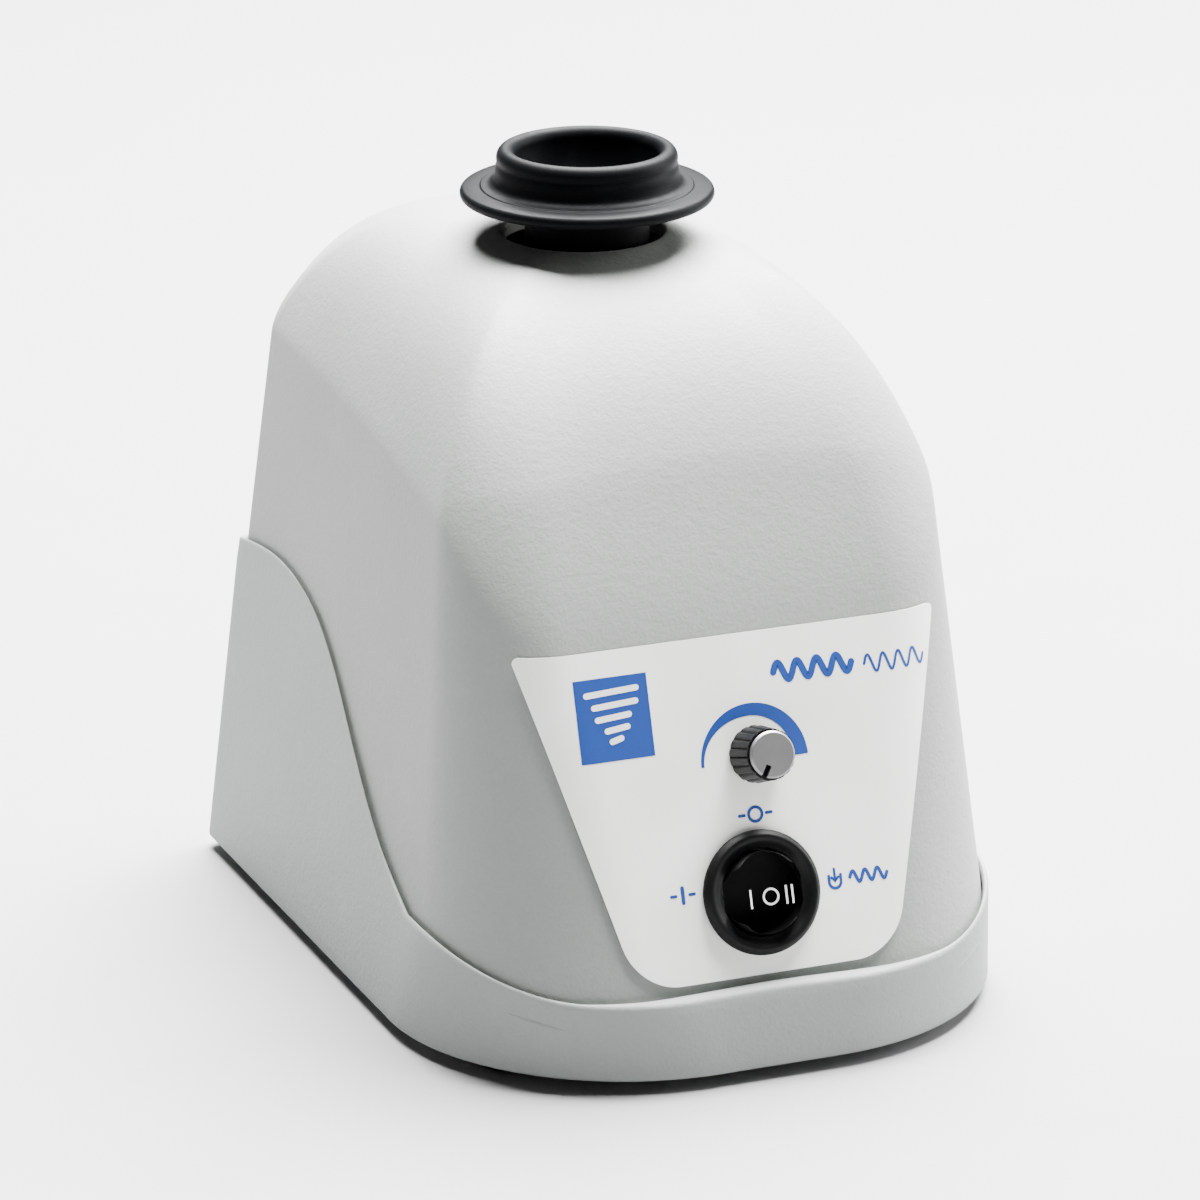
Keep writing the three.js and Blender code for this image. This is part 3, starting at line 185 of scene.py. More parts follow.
def cut(thing, *cutters, operation="DIFFERENCE"):
    """Cuts tools, given as bmeshes in millimetres, out of a finished piece, or joins them to it."""
    for number, bm in enumerate(cutters):
        bmesh.ops.recalc_face_normals(bm, faces=bm.faces)
        bmesh.ops.scale(bm, vec=(MM, MM, MM), verts=bm.verts)
        mesh = bpy.data.meshes.new("cutter")
        bm.to_mesh(mesh)
        bm.free()
        cutter = bpy.data.objects.new("cutter", mesh)
        bpy.context.scene.collection.objects.link(cutter)
        change = thing.modifiers.new("cut_%d" % number, "BOOLEAN")
        change.operation = operation
        change.solver = "EXACT"
        change.object = cutter
        bake_modifiers(thing)
        bpy.data.objects.remove(cutter)
    return thing


def bake_modifiers(thing):
    """Replaces a piece's mesh by what its modifiers make of it."""
    bpy.context.view_layer.update()
    graph = bpy.context.evaluated_depsgraph_get()
    mesh = bpy.data.meshes.new_from_object(thing.evaluated_get(graph))
    thing.modifiers.clear()
    thing.data = mesh


# ------------------------------------------------------------------ shader tools

class Value:
    """A shader value on which + - * / and ** add Math nodes."""

    def __init__(self, look, socket):
        self.look = look
        self.socket = socket

    def _math(self, operation, first, second):
        return self.look.node("ShaderNodeMath", {"operation": operation}, {0: first, 1: second})

    def __add__(self, other):
        return self._math("ADD", self, other)

    def __radd__(self, other):
        return self._math("ADD", other, self)

    def __sub__(self, other):
        return self._math("SUBTRACT", self, other)

    def __rsub__(self, other):
        return self._math("SUBTRACT", other, self)

    def __mul__(self, other):
        return self._math("MULTIPLY", self, other)

    def __rmul__(self, other):
        return self._math("MULTIPLY", other, self)

    def __truediv__(self, other):
        return self._math("DIVIDE", self, other)

    def __pow__(self, other):
        return self._math("POWER", self, other)


class Look:
    """A node material around one Principled shader."""

    def __init__(self, name, **numbers):
        self.material = bpy.data.materials.new(name)
        self.material.use_nodes = True
        self.tree = self.material.node_tree
        self.shader = self.tree.nodes["Principled BSDF"]
        for socket, number in numbers.items():
            self.shader.inputs[socket.replace("_", " ")].default_value = number
        self.object = self.node("ShaderNodeTexCoord", {}, {}, "Object")

    def node(self, kind, settings, sockets, output=0):
        made = self.tree.nodes.new(kind)
        for name, setting in settings.items():
            if name == "stops":
                self._stops(made.color_ramp, setting)
            else:
                setattr(made, name, setting)
        for name, given in sockets.items():
            if isinstance(given, Value):
                self.tree.links.new(given.socket, made.inputs[name])
            else:
                made.inputs[name].default_value = given
        return Value(self, made.outputs[output])

    def _stops(self, ramp, stops):
        while len(ramp.elements) < len(stops):
            ramp.elements.new(0.5)
        for element, (place, color) in zip(ramp.elements, stops):
            element.position = place
            element.color = color

    def set(self, socket, value):
        self.tree.links.new(value.socket, self.shader.inputs[socket])

    def noise(self, size, detail=2.0, roughness=0.5, vector=None):
        """Noise whose features are about size metres across, 0 to 1."""
        sockets = {"Vector": vector or self.object, "Scale": 1 / size, "Detail": detail, "Roughness": roughness}
        return self.node("ShaderNodeTexNoise", {}, sockets, "Fac")

    def cells(self, size, feature="F1"):
        sockets = {"Vector": self.object, "Scale": 1 / size}
        return self.node("ShaderNodeTexVoronoi", {"feature": feature}, sockets, "Distance")

    def band(self, value, low, high, out_low=0.0, out_high=1.0):
        """Maps low..high of a value to out_low..out_high, smoothly and held at both ends."""
        sockets = {"Value": value, "From Min": low, "From Max": high, "To Min": out_low, "To Max": out_high}
        return self.node("ShaderNodeMapRange", {"interpolation_type": "SMOOTHSTEP"}, sockets)

    def blend(self, amount, first, second):
        """A colour between two colours."""
        settings = {"data_type": "RGBA"}
        return self.node("ShaderNodeMix", settings, {"Factor": amount, 6: first, 7: second}, 2)

    def bump(self, height, distance, strength=1.0):
        """Raises the surface by height times distance metres."""
        sockets = {"Height": height, "Distance": distance, "Strength": strength}
        self.set("Normal", self.node("ShaderNodeBump", {}, sockets, "Normal"))


def rgb(red, green, blue):
    """A colour given as display values from 0 to 255."""
    def linear(c):
        c /= 255
        return c / 12.92 if c <= 0.04045 else ((c + 0.055) / 1.055) ** 2.4
    return (linear(red), linear(green), linear(blue), 1.0)


def moulded_plastic(name, color, shadow, grain=0.0007, depth=0.00013):
    """Textured housing plastic: fine spark-eroded grain, faint cloudiness, scuffs that shine a little."""
    look = Look(name, IOR=1.49)
    fine = look.noise(grain, 3.0, 0.6)
    coarse = look.noise(grain * 2.6, 1.0)
    cloud = look.noise(0.035, 3.0)
    scuff = look.band(look.noise(0.011, 4.0, 0.62), 0.60, 0.72)
    tint = look.band(cloud, 0.3, 0.7) * 0.35 + look.band(fine, 0.35, 0.65) * 0.25
    look.set("Base Color", look.blend(tint, color, shadow))
    look.set("Roughness", 0.56 + coarse * 0.1 - scuff * 0.07)
    look.bump(fine * 0.7 + coarse * 0.5, depth)
    return look.material


def printed_film(name, color, shade):
    look = Look(name, IOR=1.5)
    peel = look.noise(0.0012, 2.0)
    look.set("Base Color", look.blend(look.band(look.noise(0.02, 2.0), 0.35, 0.65), color, shade))
    look.set("Roughness", 0.40 + peel * 0.12)
    look.bump(peel + look.noise(0.0003, 1.0) * 0.4, 0.000012)
    return look.material


def ink(name, color, shade):
    look = Look(name, IOR=1.5)
    screen = look.noise(0.00025, 1.0)
    look.set("Base Color", look.blend(look.band(screen, 0.3, 0.75) * 0.5, color, shade))
    look.set("Roughness", 0.36 + screen * 0.12)
    look.bump(screen, 0.000008)
    return look.material


def black_rubber(name):
    """Moulded rubber: almost black, a little bloom where it is handled, fine mould grain."""
    look = Look(name, IOR=1.52, Specular_IOR_Level=0.04)
    grain = look.noise(0.0004, 3.0, 0.6)
    bloom = look.band(look.noise(0.009, 4.0, 0.6), 0.48, 0.75)
    look.set("Base Color", look.blend(bloom * 0.5, rgb(3, 4, 5), rgb(10, 12, 14)))
    look.set("Roughness", 0.46 + bloom * 0.14 + grain * 0.08)
    look.bump(grain, 0.00003)
    return look.material


def black_plastic(name, gloss):
    look = Look(name, IOR=1.5, Specular_IOR_Level=0.12)
    grain = look.noise(0.0003, 2.0)
    dust = look.band(look.noise(0.004, 5.0, 0.65), 0.6, 0.8)
    look.set("Base Color", look.blend(dust * 0.4, rgb(5, 6, 6), rgb(16, 17, 17)))
    look.set("Roughness", gloss + grain * 0.1 + dust * 0.12)
    look.bump(grain, 0.00001)
    return look.material


def turned_metal(name, color, rough, centre, turn, pitch=0.00035):
    """Lathe-faced metal: fine rings about the axis at centre, which turn maps to Z."""
    look = Look(name, Metallic=1.0)
    settings = {"vector_type": "TEXTURE"}
    local = look.node("ShaderNodeMapping", settings, {"Vector": look.object, "Location": centre, "Rotation": turn})
    flat = look.node("ShaderNodeVectorMath", {"operation": "MULTIPLY"}, {0: local, 1: (1, 1, 0)})
    reach = look.node("ShaderNodeVectorMath", {"operation": "LENGTH"}, {0: flat}, "Value")
    rings = look.node("ShaderNodeMath", {"operation": "SINE"}, {0: reach * (math.tau / pitch)})
    smear = look.noise(0.003, 3.0)
    look.set("Base Color", look.blend(smear, color, tuple(c * 0.8 for c in color[:3]) + (1.0,)))
    look.set("Roughness", rough + rings * 0.05 + smear * 0.1)
    look.bump(rings, 0.000006)
    return look.material


def plated_metal(name, color, rough, grain=0.0006):
    look = Look(name, Metallic=1.0)
    mottle = look.noise(grain * 6, 3.0)
    fine = look.noise(grain, 2.0)
    look.set("Base Color", look.blend(mottle, color, tuple(c * 0.72 for c in color[:3]) + (1.0,)))
    look.set("Roughness", rough + fine * 0.12 + mottle * 0.08)
    look.bump(fine, 0.00001)
    return look.material


def cast_metal(name):
    look = Look(name, Metallic=0.7)
    sand = look.noise(0.0009, 4.0, 0.65)
    look.set("Base Color", look.blend(sand, rgb(60, 62, 64), rgb(92, 93, 94)))
    look.set("Roughness", 0.55 + sand * 0.2)
    look.bump(sand, 0.00012)
    return look.material


def coated(name, color, shade, size, rough, depth):
    look = Look(name, IOR=1.5)
    weave = look.noise(size, 2.0)
    look.set("Base Color", look.blend(weave, color, shade))
    look.set("Roughness", rough + weave * 0.15)
    look.bump(weave, depth)
    return look.material


COVER_LOOK = moulded_plastic("cover_plastic_look", rgb(131, 135, 131), rgb(120, 124, 120))
TRAY_LOOK = moulded_plastic("tray_plastic_look", rgb(131, 136, 133), rgb(120, 125, 122))
FILM_LOOK = printed_film("label_film_look", rgb(238, 238, 234), rgb(233, 233, 228))
BLUE_LOOK = ink("blue_ink_look", rgb(18, 56, 130), rgb(15, 50, 119))
WHITE_LOOK = ink("white_ink_look", rgb(228, 229, 228), rgb(214, 215, 214))
RUBBER_LOOK = black_rubber("rubber_look")
KNOB_LOOK = black_plastic("knob_plastic_look", 0.34)
SWITCH_LOOK = black_plastic("switch_plastic_look", 0.44)
STEEL_LOOK = plated_metal("steel_look", rgb(188, 190, 192), 0.28)
ALUMINIUM_LOOK = plated_metal("aluminium_look", rgb(176, 177, 178), 0.34)
BRASS_LOOK = plated_metal("brass_look", rgb(201, 172, 104), 0.25)
IRON_LOOK = cast_metal("cast_iron_look")
BOARD_LOOK = coated("board_look", rgb(28, 92, 54), rgb(20, 74, 44), 0.0012, 0.3, 0.00001)
WRAP_LOOK = coated("transformer_wrap_look", rgb(214, 176, 78), rgb(196, 156, 60), 0.002, 0.4, 0.00004)


# ------------------------------------------------------------------ outline of the housing

REAR, REAR_CORNER, SIDE, FRONT_CORNER, FRONT = range(5)
STEPS = {REAR: 18, REAR_CORNER: 8, SIDE: 56, FRONT_CORNER: 34, FRONT: 14}


def half_outline():
    """Stations along half of the outline, from the middle of the rear to the middle of the front."""
    stations = [(part, step / STEPS[part]) for part in STEPS for step in range(STEPS[part])]
    return stations + [(FRONT, 1.0)]


def plan_sizes(form, z, inset):
    return dict(
        rear_half=form["rear_half"] - form["draft"] * z - inset,
        front_half=form["front_half"] - form["draft_front"] * z - inset,
        radius=max(form["radius"] - form["radius_draft"] * z - inset, 4),
        rear=form["setback"] + form["rear_draft"] * z + inset,
        front=BODY_DEPTH + form["front_setback"] - form["lean"] * z - inset,
        rear_radius=max(form["rear_radius"] - inset, 0.6),
    )


def plan_point(form, station, z, inset=0.0):
    """Where a station of the outline lies at one height, as (x, v) on the -X side."""
    part, f = station
    p = plan_sizes(form, z, inset)
    side_end = p["front"] - p["radius"]
    if part == REAR:
        return -f * (p["rear_half"] - p["rear_radius"]), p["rear"]
    if part == REAR_CORNER:
        a = f * math.pi / 2
        x = -p["rear_half"] + p["rear_radius"] * (1 - math.sin(a))
        return x, p["rear"] + p["rear_radius"] * (1 - math.cos(a))
    if part == SIDE:
        return -mix(p["rear_half"], p["front_half"], f), mix(p["rear"] + p["rear_radius"], side_end, f)
    if part == FRONT_CORNER:
        a = f * math.pi / 2
        return -p["front_half"] + p["radius"] * (1 - math.cos(a)), side_end + p["radius"] * math.sin(a)
    return -(p["front_half"] - p["radius"]) * (1 - f), p["front"]


def round_front(station):
    """0 at the rear and the sides, rising to 1 on the way round the front corner."""
    part, f = station
    if part in (REAR, REAR_CORNER):
        return 0.0
    if part == SIDE:
        return smooth((f - 1) * 8 / 8 + 1 / 8)
    if part == FRONT_CORNER:
        return smooth((f * 7 + 1) / 8)
    return 1.0


def crease_height(station, x, v, half):
    part, f = station
    if part in (REAR, REAR_CORNER):
        return SHOULDER_Z + ARCH_RISE * (1 - min(abs(x) / half, 1) ** DOME_POWER)
    side = SHOULDER_Z - CREASE_FALL * max(v - 15, 0) ** 2
    if part == SIDE:
        return side
    if part == FRONT_CORNER:
        return mix(side, BEND_Z, smooth(f))
    return BEND_Z


def crease_point(station, inset):
    z = SHOULDER_Z
    for _ in range(8):
        x, v = plan_point(COVER, station, z, inset)
        z = crease_height(station, x, v, plan_sizes(COVER, z, inset)["rear_half"]) - inset
    return x, v, z


def spline_through(points, count=24):
    """Smooth curve through points, as a dense list."""
    ends = [points[0], *points, points[-1]]
    out = []
    for p0, p1, p2, p3 in zip(ends, ends[1:], ends[2:], ends[3:]):
        for step in range(count):
            t = step / count
            out.append(tuple(
                0.5 * (2 * b + (c - a) * t + (2 * a - 5 * b + 4 * c - d) * t ** 2 + (3 * b - a - 3 * c + d) * t ** 3)
                for a, b, c, d in zip(p0, p1, p2, p3)))
    return out + [points[-1]]


LIP_CURVE = spline_through(LIP_SIDE)


def lip_on_side(v):
    v = min(max(v, LIP_CURVE[0][0]), LIP_CURVE[-1][0])
    for (v0, z0), (v1, z1) in zip(LIP_CURVE, LIP_CURVE[1:]):
        if v <= v1:
            return mix(z0, z1, (v - v0) / max(v1 - v0, 1e-6))
    return LIP_CURVE[-1][1]


def lip_height(station):
    part, f = station
    if part in (REAR, REAR_CORNER, SIDE):
        return lip_on_side(plan_point(TRAY, station, LIP_FRONT)[1])
    side = lip_on_side(plan_point(TRAY, (SIDE, 1.0), LIP_FRONT)[1])
    if part == FRONT_CORNER:
        return mix(side, LIP_CORNER, smooth(min(1.35 * f, 1)))
    return mix(LIP_CORNER, LIP_FRONT, smooth(f))


STATIONS = half_outline()
AROUND = [(s, 1) for s in STATIONS] + [(s, -1) for s in reversed(STATIONS[1:-1])]


def housing_loop(rows, closed=True):
    """Shell through rows; each row gives (x, v, z) for a station on the -X side."""
    cache = {}

    def place(column, row):
        station, side = AROUND[column]
        row %= len(rows)
        if (station, row) not in cache:
            cache[station, row] = rows[row](station)
        x, v, z = cache[station, row]
        return world(x * side, v, z)

    return grid_surface(len(AROUND), len(rows) if closed else len(rows) - 1, place, True)


# ------------------------------------------------------------------ cover

CREASE = {}
SOFT_CREASE = {}


def crease_of(station, inset):
    if (station, inset) not in CREASE:
        CREASE[station, inset] = crease_point(station, inset)
    return CREASE[station, inset]


def bearing(station, inset):
    """Direction of a station from the cup opening, 0 at the front and pi at the rear."""
    kx, kv, _ = crease_of(station, inset)
    return math.atan2(abs(kx), kv - AXIS_V)


def soft_crease(station, inset):
    """Reach and height of the crease averaged over the directions near a station."""
    if (station, inset) not in SOFT_CREASE:
        here = bearing(station, inset)
        total = reach = height = 0.0
        stations = half_outline()
        for n, other in enumerate(stations):
            kx, kv, kz = crease_of(other, inset)
            there = bearing(other, inset)
            span = abs(bearing(stations[max(n - 1, 0)], inset) - bearing(stations[min(n + 1, len(stations) - 1)], inset))
            for apart in (there - here, there + here, math.tau - there - here):
                weight = span * math.exp(-(apart / DOME_SOFTNESS) ** 2)
                total += weight
                reach += weight * math.hypot(kx, kv - AXIS_V)
                height += weight * kz
        SOFT_CREASE[station, inset] = reach / total, height / total
    return SOFT_CREASE[station, inset]


def dome_point(station, inset, plan):
    """Point on the dome, plan running from 0 at the cup opening to 1 at the crease."""
    kx, kv, kz = crease_of(station, inset)
    reach = math.hypot(kx, kv - AXIS_V)
    soft_reach, soft_height = soft_crease(station, inset)
    own = smooth(plan)
    form_reach = mix(soft_reach, reach, own)
    foot = mix(soft_height, kz, own)
    power = mix(DOME_POWER, DOME_POWER_FRONT, round_front(station))
    r = mix(HOLE_RADIUS, reach, plan)
    apex = (HOLE_Z - inset - foot) / (1 - (HOLE_RADIUS / form_reach) ** power)
    return kx * r / reach, AXIS_V + (kv - AXIS_V) * r / reach, foot + apex * (1 - (r / form_reach) ** power)


def blend_radius(station):
    return mix(CREASE_RADIUS, BEND_RADIUS, round_front(station))


def dome_end(station, inset):
    kx, kv, _ = crease_of(station, inset)
    return 1 - blend_radius(station) / (math.hypot(kx, kv - AXIS_V) - HOLE_RADIUS)


def cover_skin(inset, dome, bend, wall):
    """Rows of one skin of the cover, from the cup opening over the dome and down the walls."""
    def on_dome(f):
        return lambda s: dome_point(s, inset, f * dome_end(s, inset))

    def on_bend(t):
        def place(s):
            a = dome_point(s, inset, dome_end(s, inset))
            k = crease_of(s, inset)
            z = k[2] - blend_radius(s)
            b = (*plan_point(COVER, s, z, inset), z)
            return tuple((1 - t) ** 2 * p + 2 * t * (1 - t) * q + t * t * r for p, q, r in zip(a, k, b))
        return place

    def on_wall(f):
        def place(s):
            z = mix(crease_of(s, inset)[2] - blend_radius(s), lip_height(s) - LIP_SEAT, f)
            return (*plan_point(COVER, s, z, inset), z)
        return place

    rows = [on_dome(n / dome) for n in range(dome + 1)]
    rows += [on_bend(n / bend) for n in range(1, bend + 1)]
    return rows + [on_wall(n / wall) for n in range(1, wall + 1)]


def opening_edge(angle):
    """Rounded edge of the cup opening; angle 0 is its top, a quarter turn its inside."""
    radius = HOLE_RADIUS - HOLE_EDGE * math.sin(angle)
    z = HOLE_Z - HOLE_EDGE * (1 - math.cos(angle))
    return opening_ring(radius, z)


def opening_ring(radius, z):
    def place(s):
        kx, kv, _ = crease_of(s, 0.0)
        reach = math.hypot(kx, kv - AXIS_V)
        return kx * radius / reach, AXIS_V + (kv - AXIS_V) * radius / reach, z
    return place


def disc(radius, low, high, segments=64):
    bm = bmesh.new()
    bmesh.ops.create_cone(bm, cap_ends=True, segments=segments, radius1=radius, radius2=radius, depth=high - low)
    bmesh.ops.translate(bm, vec=(0, 0, (low + high) / 2), verts=bm.verts)
    return bm


def panel_frame(x, up, out=0.0):
    """Matrix of a place on the front panel: x across, y up the slope, z out of the face."""
    v = plan_sizes(COVER, PANEL_FOOT_Z, 0)["front"] - up * math.sin(PANEL_LEAN)
    place = Matrix.Translation(world(x, v, PANEL_FOOT_Z + up * math.cos(PANEL_LEAN)))
    return place @ Matrix.Rotation(math.pi / 2 - PANEL_LEAN, 4, "X") @ Matrix.Translation((0, 0, out))


KNOB_FRAME = panel_frame(KNOB_X, KNOB_UP)
SWITCH_FRAME = panel_frame(0.0, SWITCH_UP)


def placed(bm, frame):
    bmesh.ops.transform(bm, matrix=frame, verts=bm.verts)
    return bm


VENT = dict(count=7, pitch=6.0, length=22.0, width=2.6, drop=16.0)


def vent_cutter(number):
    """Slot with round ends, through the rear wall."""
    x = (number - (VENT["count"] - 1) / 2) * VENT["pitch"]
    half = VENT["width"] / 2
    reach = VENT["length"] / 2 - half
    bm = bmesh.new()
    ring = []
    for step in range(24):
        a = math.tau * (step + 0.5) / 24
        ring.append(bm.verts.new((half * math.cos(a), half * math.sin(a) + math.copysign(reach, math.sin(a)), -8)))
    face = bm.faces.new(ring)
    made = bmesh.ops.extrude_face_region(bm, geom=[face])
    bmesh.ops.translate(bm, vec=(0, 0, 16), verts=[g for g in made["geom"] if isinstance(g, bmesh.types.BMVert)])
    bmesh.ops.rotate(bm, cent=(0, 0, 0), matrix=Matrix.Rotation(math.pi / 2, 3, "X"), verts=bm.verts)
    bmesh.ops.translate(bm, vec=(x, REAR_Y, SHOULDER_Z - VENT["drop"] + FOOT_GAP), verts=bm.verts)
    return bm


def make_cover():
    edge = [opening_edge(math.pi / 2 * n / 4) for n in (4, 3, 2, 1)]
    outer = cover_skin(0.0, 44, 10, 26)
    inner = cover_skin(COVER_WALL, 8, 4, 6)
    rows = edge + outer + inner[::-1] + [opening_ring(HOLE_RADIUS - HOLE_EDGE, HOLE_Z - COVER_WALL)]
    cover = piece("cover_shell", housing_loop(rows), COVER_LOOK)
    cutters = [placed(disc(3.8, -12, 12), KNOB_FRAME), placed(disc(10.2, -12, 12), SWITCH_FRAME)]
    cut(cover, *cutters, *[vent_cutter(n) for n in range(VENT["count"])])
    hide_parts("top_cover")
    return cover


# ------------------------------------------------------------------ tray

POSTS = ((130 / 2 - 20.5, 30.0, 70.0), (130 / 2 - 31.5, BODY_DEPTH - 22, 30.0))
FEET = ((46.8, 17.0), (46.8, BODY_DEPTH - 30.0))
INLET = dict(z=33.0, width=28.0, height=20.6)


def at_sides(places, make):
    out = []
    for place in places:
        for side in (-1, 1):
            bm = make(place)
            bmesh.ops.translate(bm, vec=(side * place[0], REAR_Y - place[1], FOOT_GAP), verts=bm.verts)
            out.append(bm)
    return out


def box_cutter(width, depth, height, centre):
    bm = bmesh.new()
    bmesh.ops.create_cube(bm, size=1)
    bmesh.ops.scale(bm, vec=(width, depth, height), verts=bm.verts)
    bmesh.ops.translate(bm, vec=centre, verts=bm.verts)
    return bm


def make_tray():
    def wall(z, inset):
        return lambda s: (*plan_point(TRAY, s, z, inset), z)

    def share(f, inset):
        def place(s):
            z = mix(1.2, lip_height(s) - LIP_ROUND, f)
            return (*plan_point(TRAY, s, z, inset), z)
        return place

    def seat(drop, gap):
        def place(s):
            z = lip_height(s) - drop
            return (*plan_point(COVER, s, z, -gap), z)
        return place

    def lip(angle):
        """Round nose of the lip: angle 0 is its outside, half a turn its inside."""
        def place(s):
            z = lip_height(s)
            ox, ov = plan_point(TRAY, s, z, 0.0)
            ix, iv = plan_point(COVER, s, z, -SEAT_GAP)
            along = (1 - math.cos(angle)) / 2
            return mix(ox, ix, along), mix(ov, iv, along), z - LIP_ROUND * (1 - math.sin(angle))
        return place

    foot = [wall(0, 1.0), wall(0.25, 0.4), wall(0.6, 0.1)]
    outside = [share(n / 16, 0.0) for n in range(16)]
    nose = [lip(math.pi * n / 10) for n in range(11)]
    inside = [seat(LIP_SEAT * 0.6, SEAT_GAP), seat(LIP_SEAT + PLAY, SEAT_GAP), share(0.6, TRAY_WALL),
              share(0.3, TRAY_WALL), wall(TRAY_FLOOR, TRAY_WALL)]
    bm = housing_loop(foot + outside + nose + inside, closed=False)
    bmesh.ops.holes_fill(bm, edges=[e for e in bm.edges if e.is_boundary])
    tray = piece("tray_shell", bm, TRAY_LOOK)
    cut(tray, *at_sides(POSTS, lambda p: disc(5.0, 1.0, p[2], 32)), operation="UNION")
    wells = at_sides(POSTS, lambda p: disc(3.3, -1, p[2] - 4, 32))
    shanks = at_sides(POSTS, lambda p: disc(1.8, p[2] - 5, p[2] + 1, 24))
    stems = at_sides(FEET, lambda p: disc(2.9, -1, 4, 24))
    window = box_cutter(INLET["width"] + 0.6, 12, INLET["height"] + 0.6, (0, REAR_Y, INLET["z"] + FOOT_GAP))
    cut(tray, *wells, *shanks, *stems, window)
    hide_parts("base_tray")
    return tray


# ------------------------------------------------------------------ label and its print

def front_depth(x, z):
    """How far forward the cover's front face lies at one place."""
    p = plan_sizes(COVER, z, 0)
    past = abs(x) - (p["front_half"] - p["radius"])
    if past <= 0:
        return p["front"]
    return p["front"] - p["radius"] + math.sqrt(max(p["radius"] ** 2 - past ** 2, 0))


def on_label(x, up, lift):
    """Point over the front face, x across and up its slope."""
    z = PANEL_FOOT_Z + up * math.cos(PANEL_LEAN)
    p = plan_sizes(COVER, z, -lift)
    past = abs(x) - (p["front_half"] - p["radius"])
    v = p["front"] if past <= 0 else p["front"] - p["radius"] + math.sqrt(max(p["radius"] ** 2 - past ** 2, 0))
    return world(x, v, z)


def label_half(up):
    """Half the width of the label at one height: slanted sides, round corners."""
    low, high, corner = LABEL["bottom"], LABEL["top"], LABEL["corner"]
    half = mix(LABEL["bottom_half"], LABEL["top_half"], (up - low) / (high - low))
    below = max(corner - (up - low), 0)
    above = max(LABEL_TOP_CORNER - (high - up), 0)
    half += math.sqrt(corner ** 2 - below ** 2) - corner
    return half + math.sqrt(LABEL_TOP_CORNER ** 2 - above ** 2) - LABEL_TOP_CORNER


LABEL_TOP_CORNER = 1.8


def make_label():
    columns, low_rows, mid_rows, top_rows = 72, 14, 30, 8
    low, high, corner = LABEL["bottom"], LABEL["top"], LABEL["corner"]
    ups = [low + corner * (1 - math.cos(math.pi / 2 * n / low_rows)) for n in range(low_rows)]
    ups += [mix(low + corner, high - LABEL_TOP_CORNER, n / mid_rows) for n in range(mid_rows)]
    ups += [high - LABEL_TOP_CORNER * (1 - math.sin(math.pi / 2 * n / top_rows)) for n in range(top_rows + 1)]

    def place(column, row):
        x = label_half(ups[row]) * (2 * column / columns - 1)
        return on_label(x, ups[row], LABEL_FACE)

    bm = grid_surface(columns, len(ups) - 1, place, False)
    bmesh.ops.recalc_face_normals(bm, faces=bm.faces)
    face_forward(bm)
    bmesh.ops.solidify(bm, geom=bm.faces[:], thickness=LABEL["thick"])
    label = piece("label_film", bm, FILM_LOOK)
    cut(label, placed(disc(4.1, -8, 8), KNOB_FRAME), placed(disc(10.5, -8, 8), SWITCH_FRAME))
    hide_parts("front_label")
    return label


def face_forward(bm):
    """Turns a sheet on the front panel so that its faces look out of the panel."""
    bm.faces.ensure_lookup_table()
    total = sum((f.normal * f.calc_area() for f in bm.faces), Vector())
    if total.y > 0:
        bmesh.ops.reverse_faces(bm, faces=bm.faces)


def stroke(bm, path, halves, lift, round_ends=True):
    """Adds an ink line to bm along a path of (x, up) points with half its width at each."""
    path = [Vector(p) for p in path]
    if round_ends:
        first, last = halves[0], halves[-1]
        start = (path[0] - path[1]).normalized()
        end = (path[-1] - path[-2]).normalized()
        turns = [math.pi / 2 * n / 5 for n in range(5)]
        head = [(path[0] + start * first * math.cos(a), first * math.sin(a)) for a in turns]
        tail = [(path[-1] + end * last * math.cos(a), last * math.sin(a)) for a in reversed(turns)]
        path = [p for p, _ in head] + path + [p for p, _ in tail]
        halves = [max(w, 0.01) for _, w in head] + list(halves) + [max(w, 0.01) for _, w in tail]
    rows = []
    for n, (point, half) in enumerate(zip(path, halves)):
        along = path[min(n + 1, len(path) - 1)] - path[max(n - 1, 0)]
        side = Vector((-along.y, along.x)).normalized() * half
        rows.append([bm.verts.new(on_label(*(point + side * t), lift)) for t in (1, 0.33, -0.33, -1)])
    for a, b in zip(rows, rows[1:]):
        for n in range(3):
            bm.faces.new((a[n], a[n + 1], b[n + 1], b[n]))


def line(start, end, steps=10):
    return [Vector(start).lerp(Vector(end), n / steps) for n in range(steps + 1)]


def arc(centre, radius, start, end, steps=48):
    """Points round a centre; angles are in degrees, anticlockwise from the right."""
    angles = [math.radians(mix(start, end, n / steps)) for n in range(steps + 1)]
    return [(centre[0] + radius * math.cos(a), centre[1] + radius * math.sin(a)) for a in angles]


def wave(x0, x1, middle, height, waves, steps=96):
    return [(mix(x0, x1, n / steps), middle + height * math.sin(math.tau * waves * n / steps))
            for n in range(steps + 1)]


def even(path, half):
    return [half] * len(path)


def finish_print(name, bm, look):
    face_forward(bm)
    bmesh.ops.solidify(bm, geom=bm.faces[:], thickness=0.03)
    return piece(name, bm, look)


INK_LIFT = LABEL_FACE + 0.05


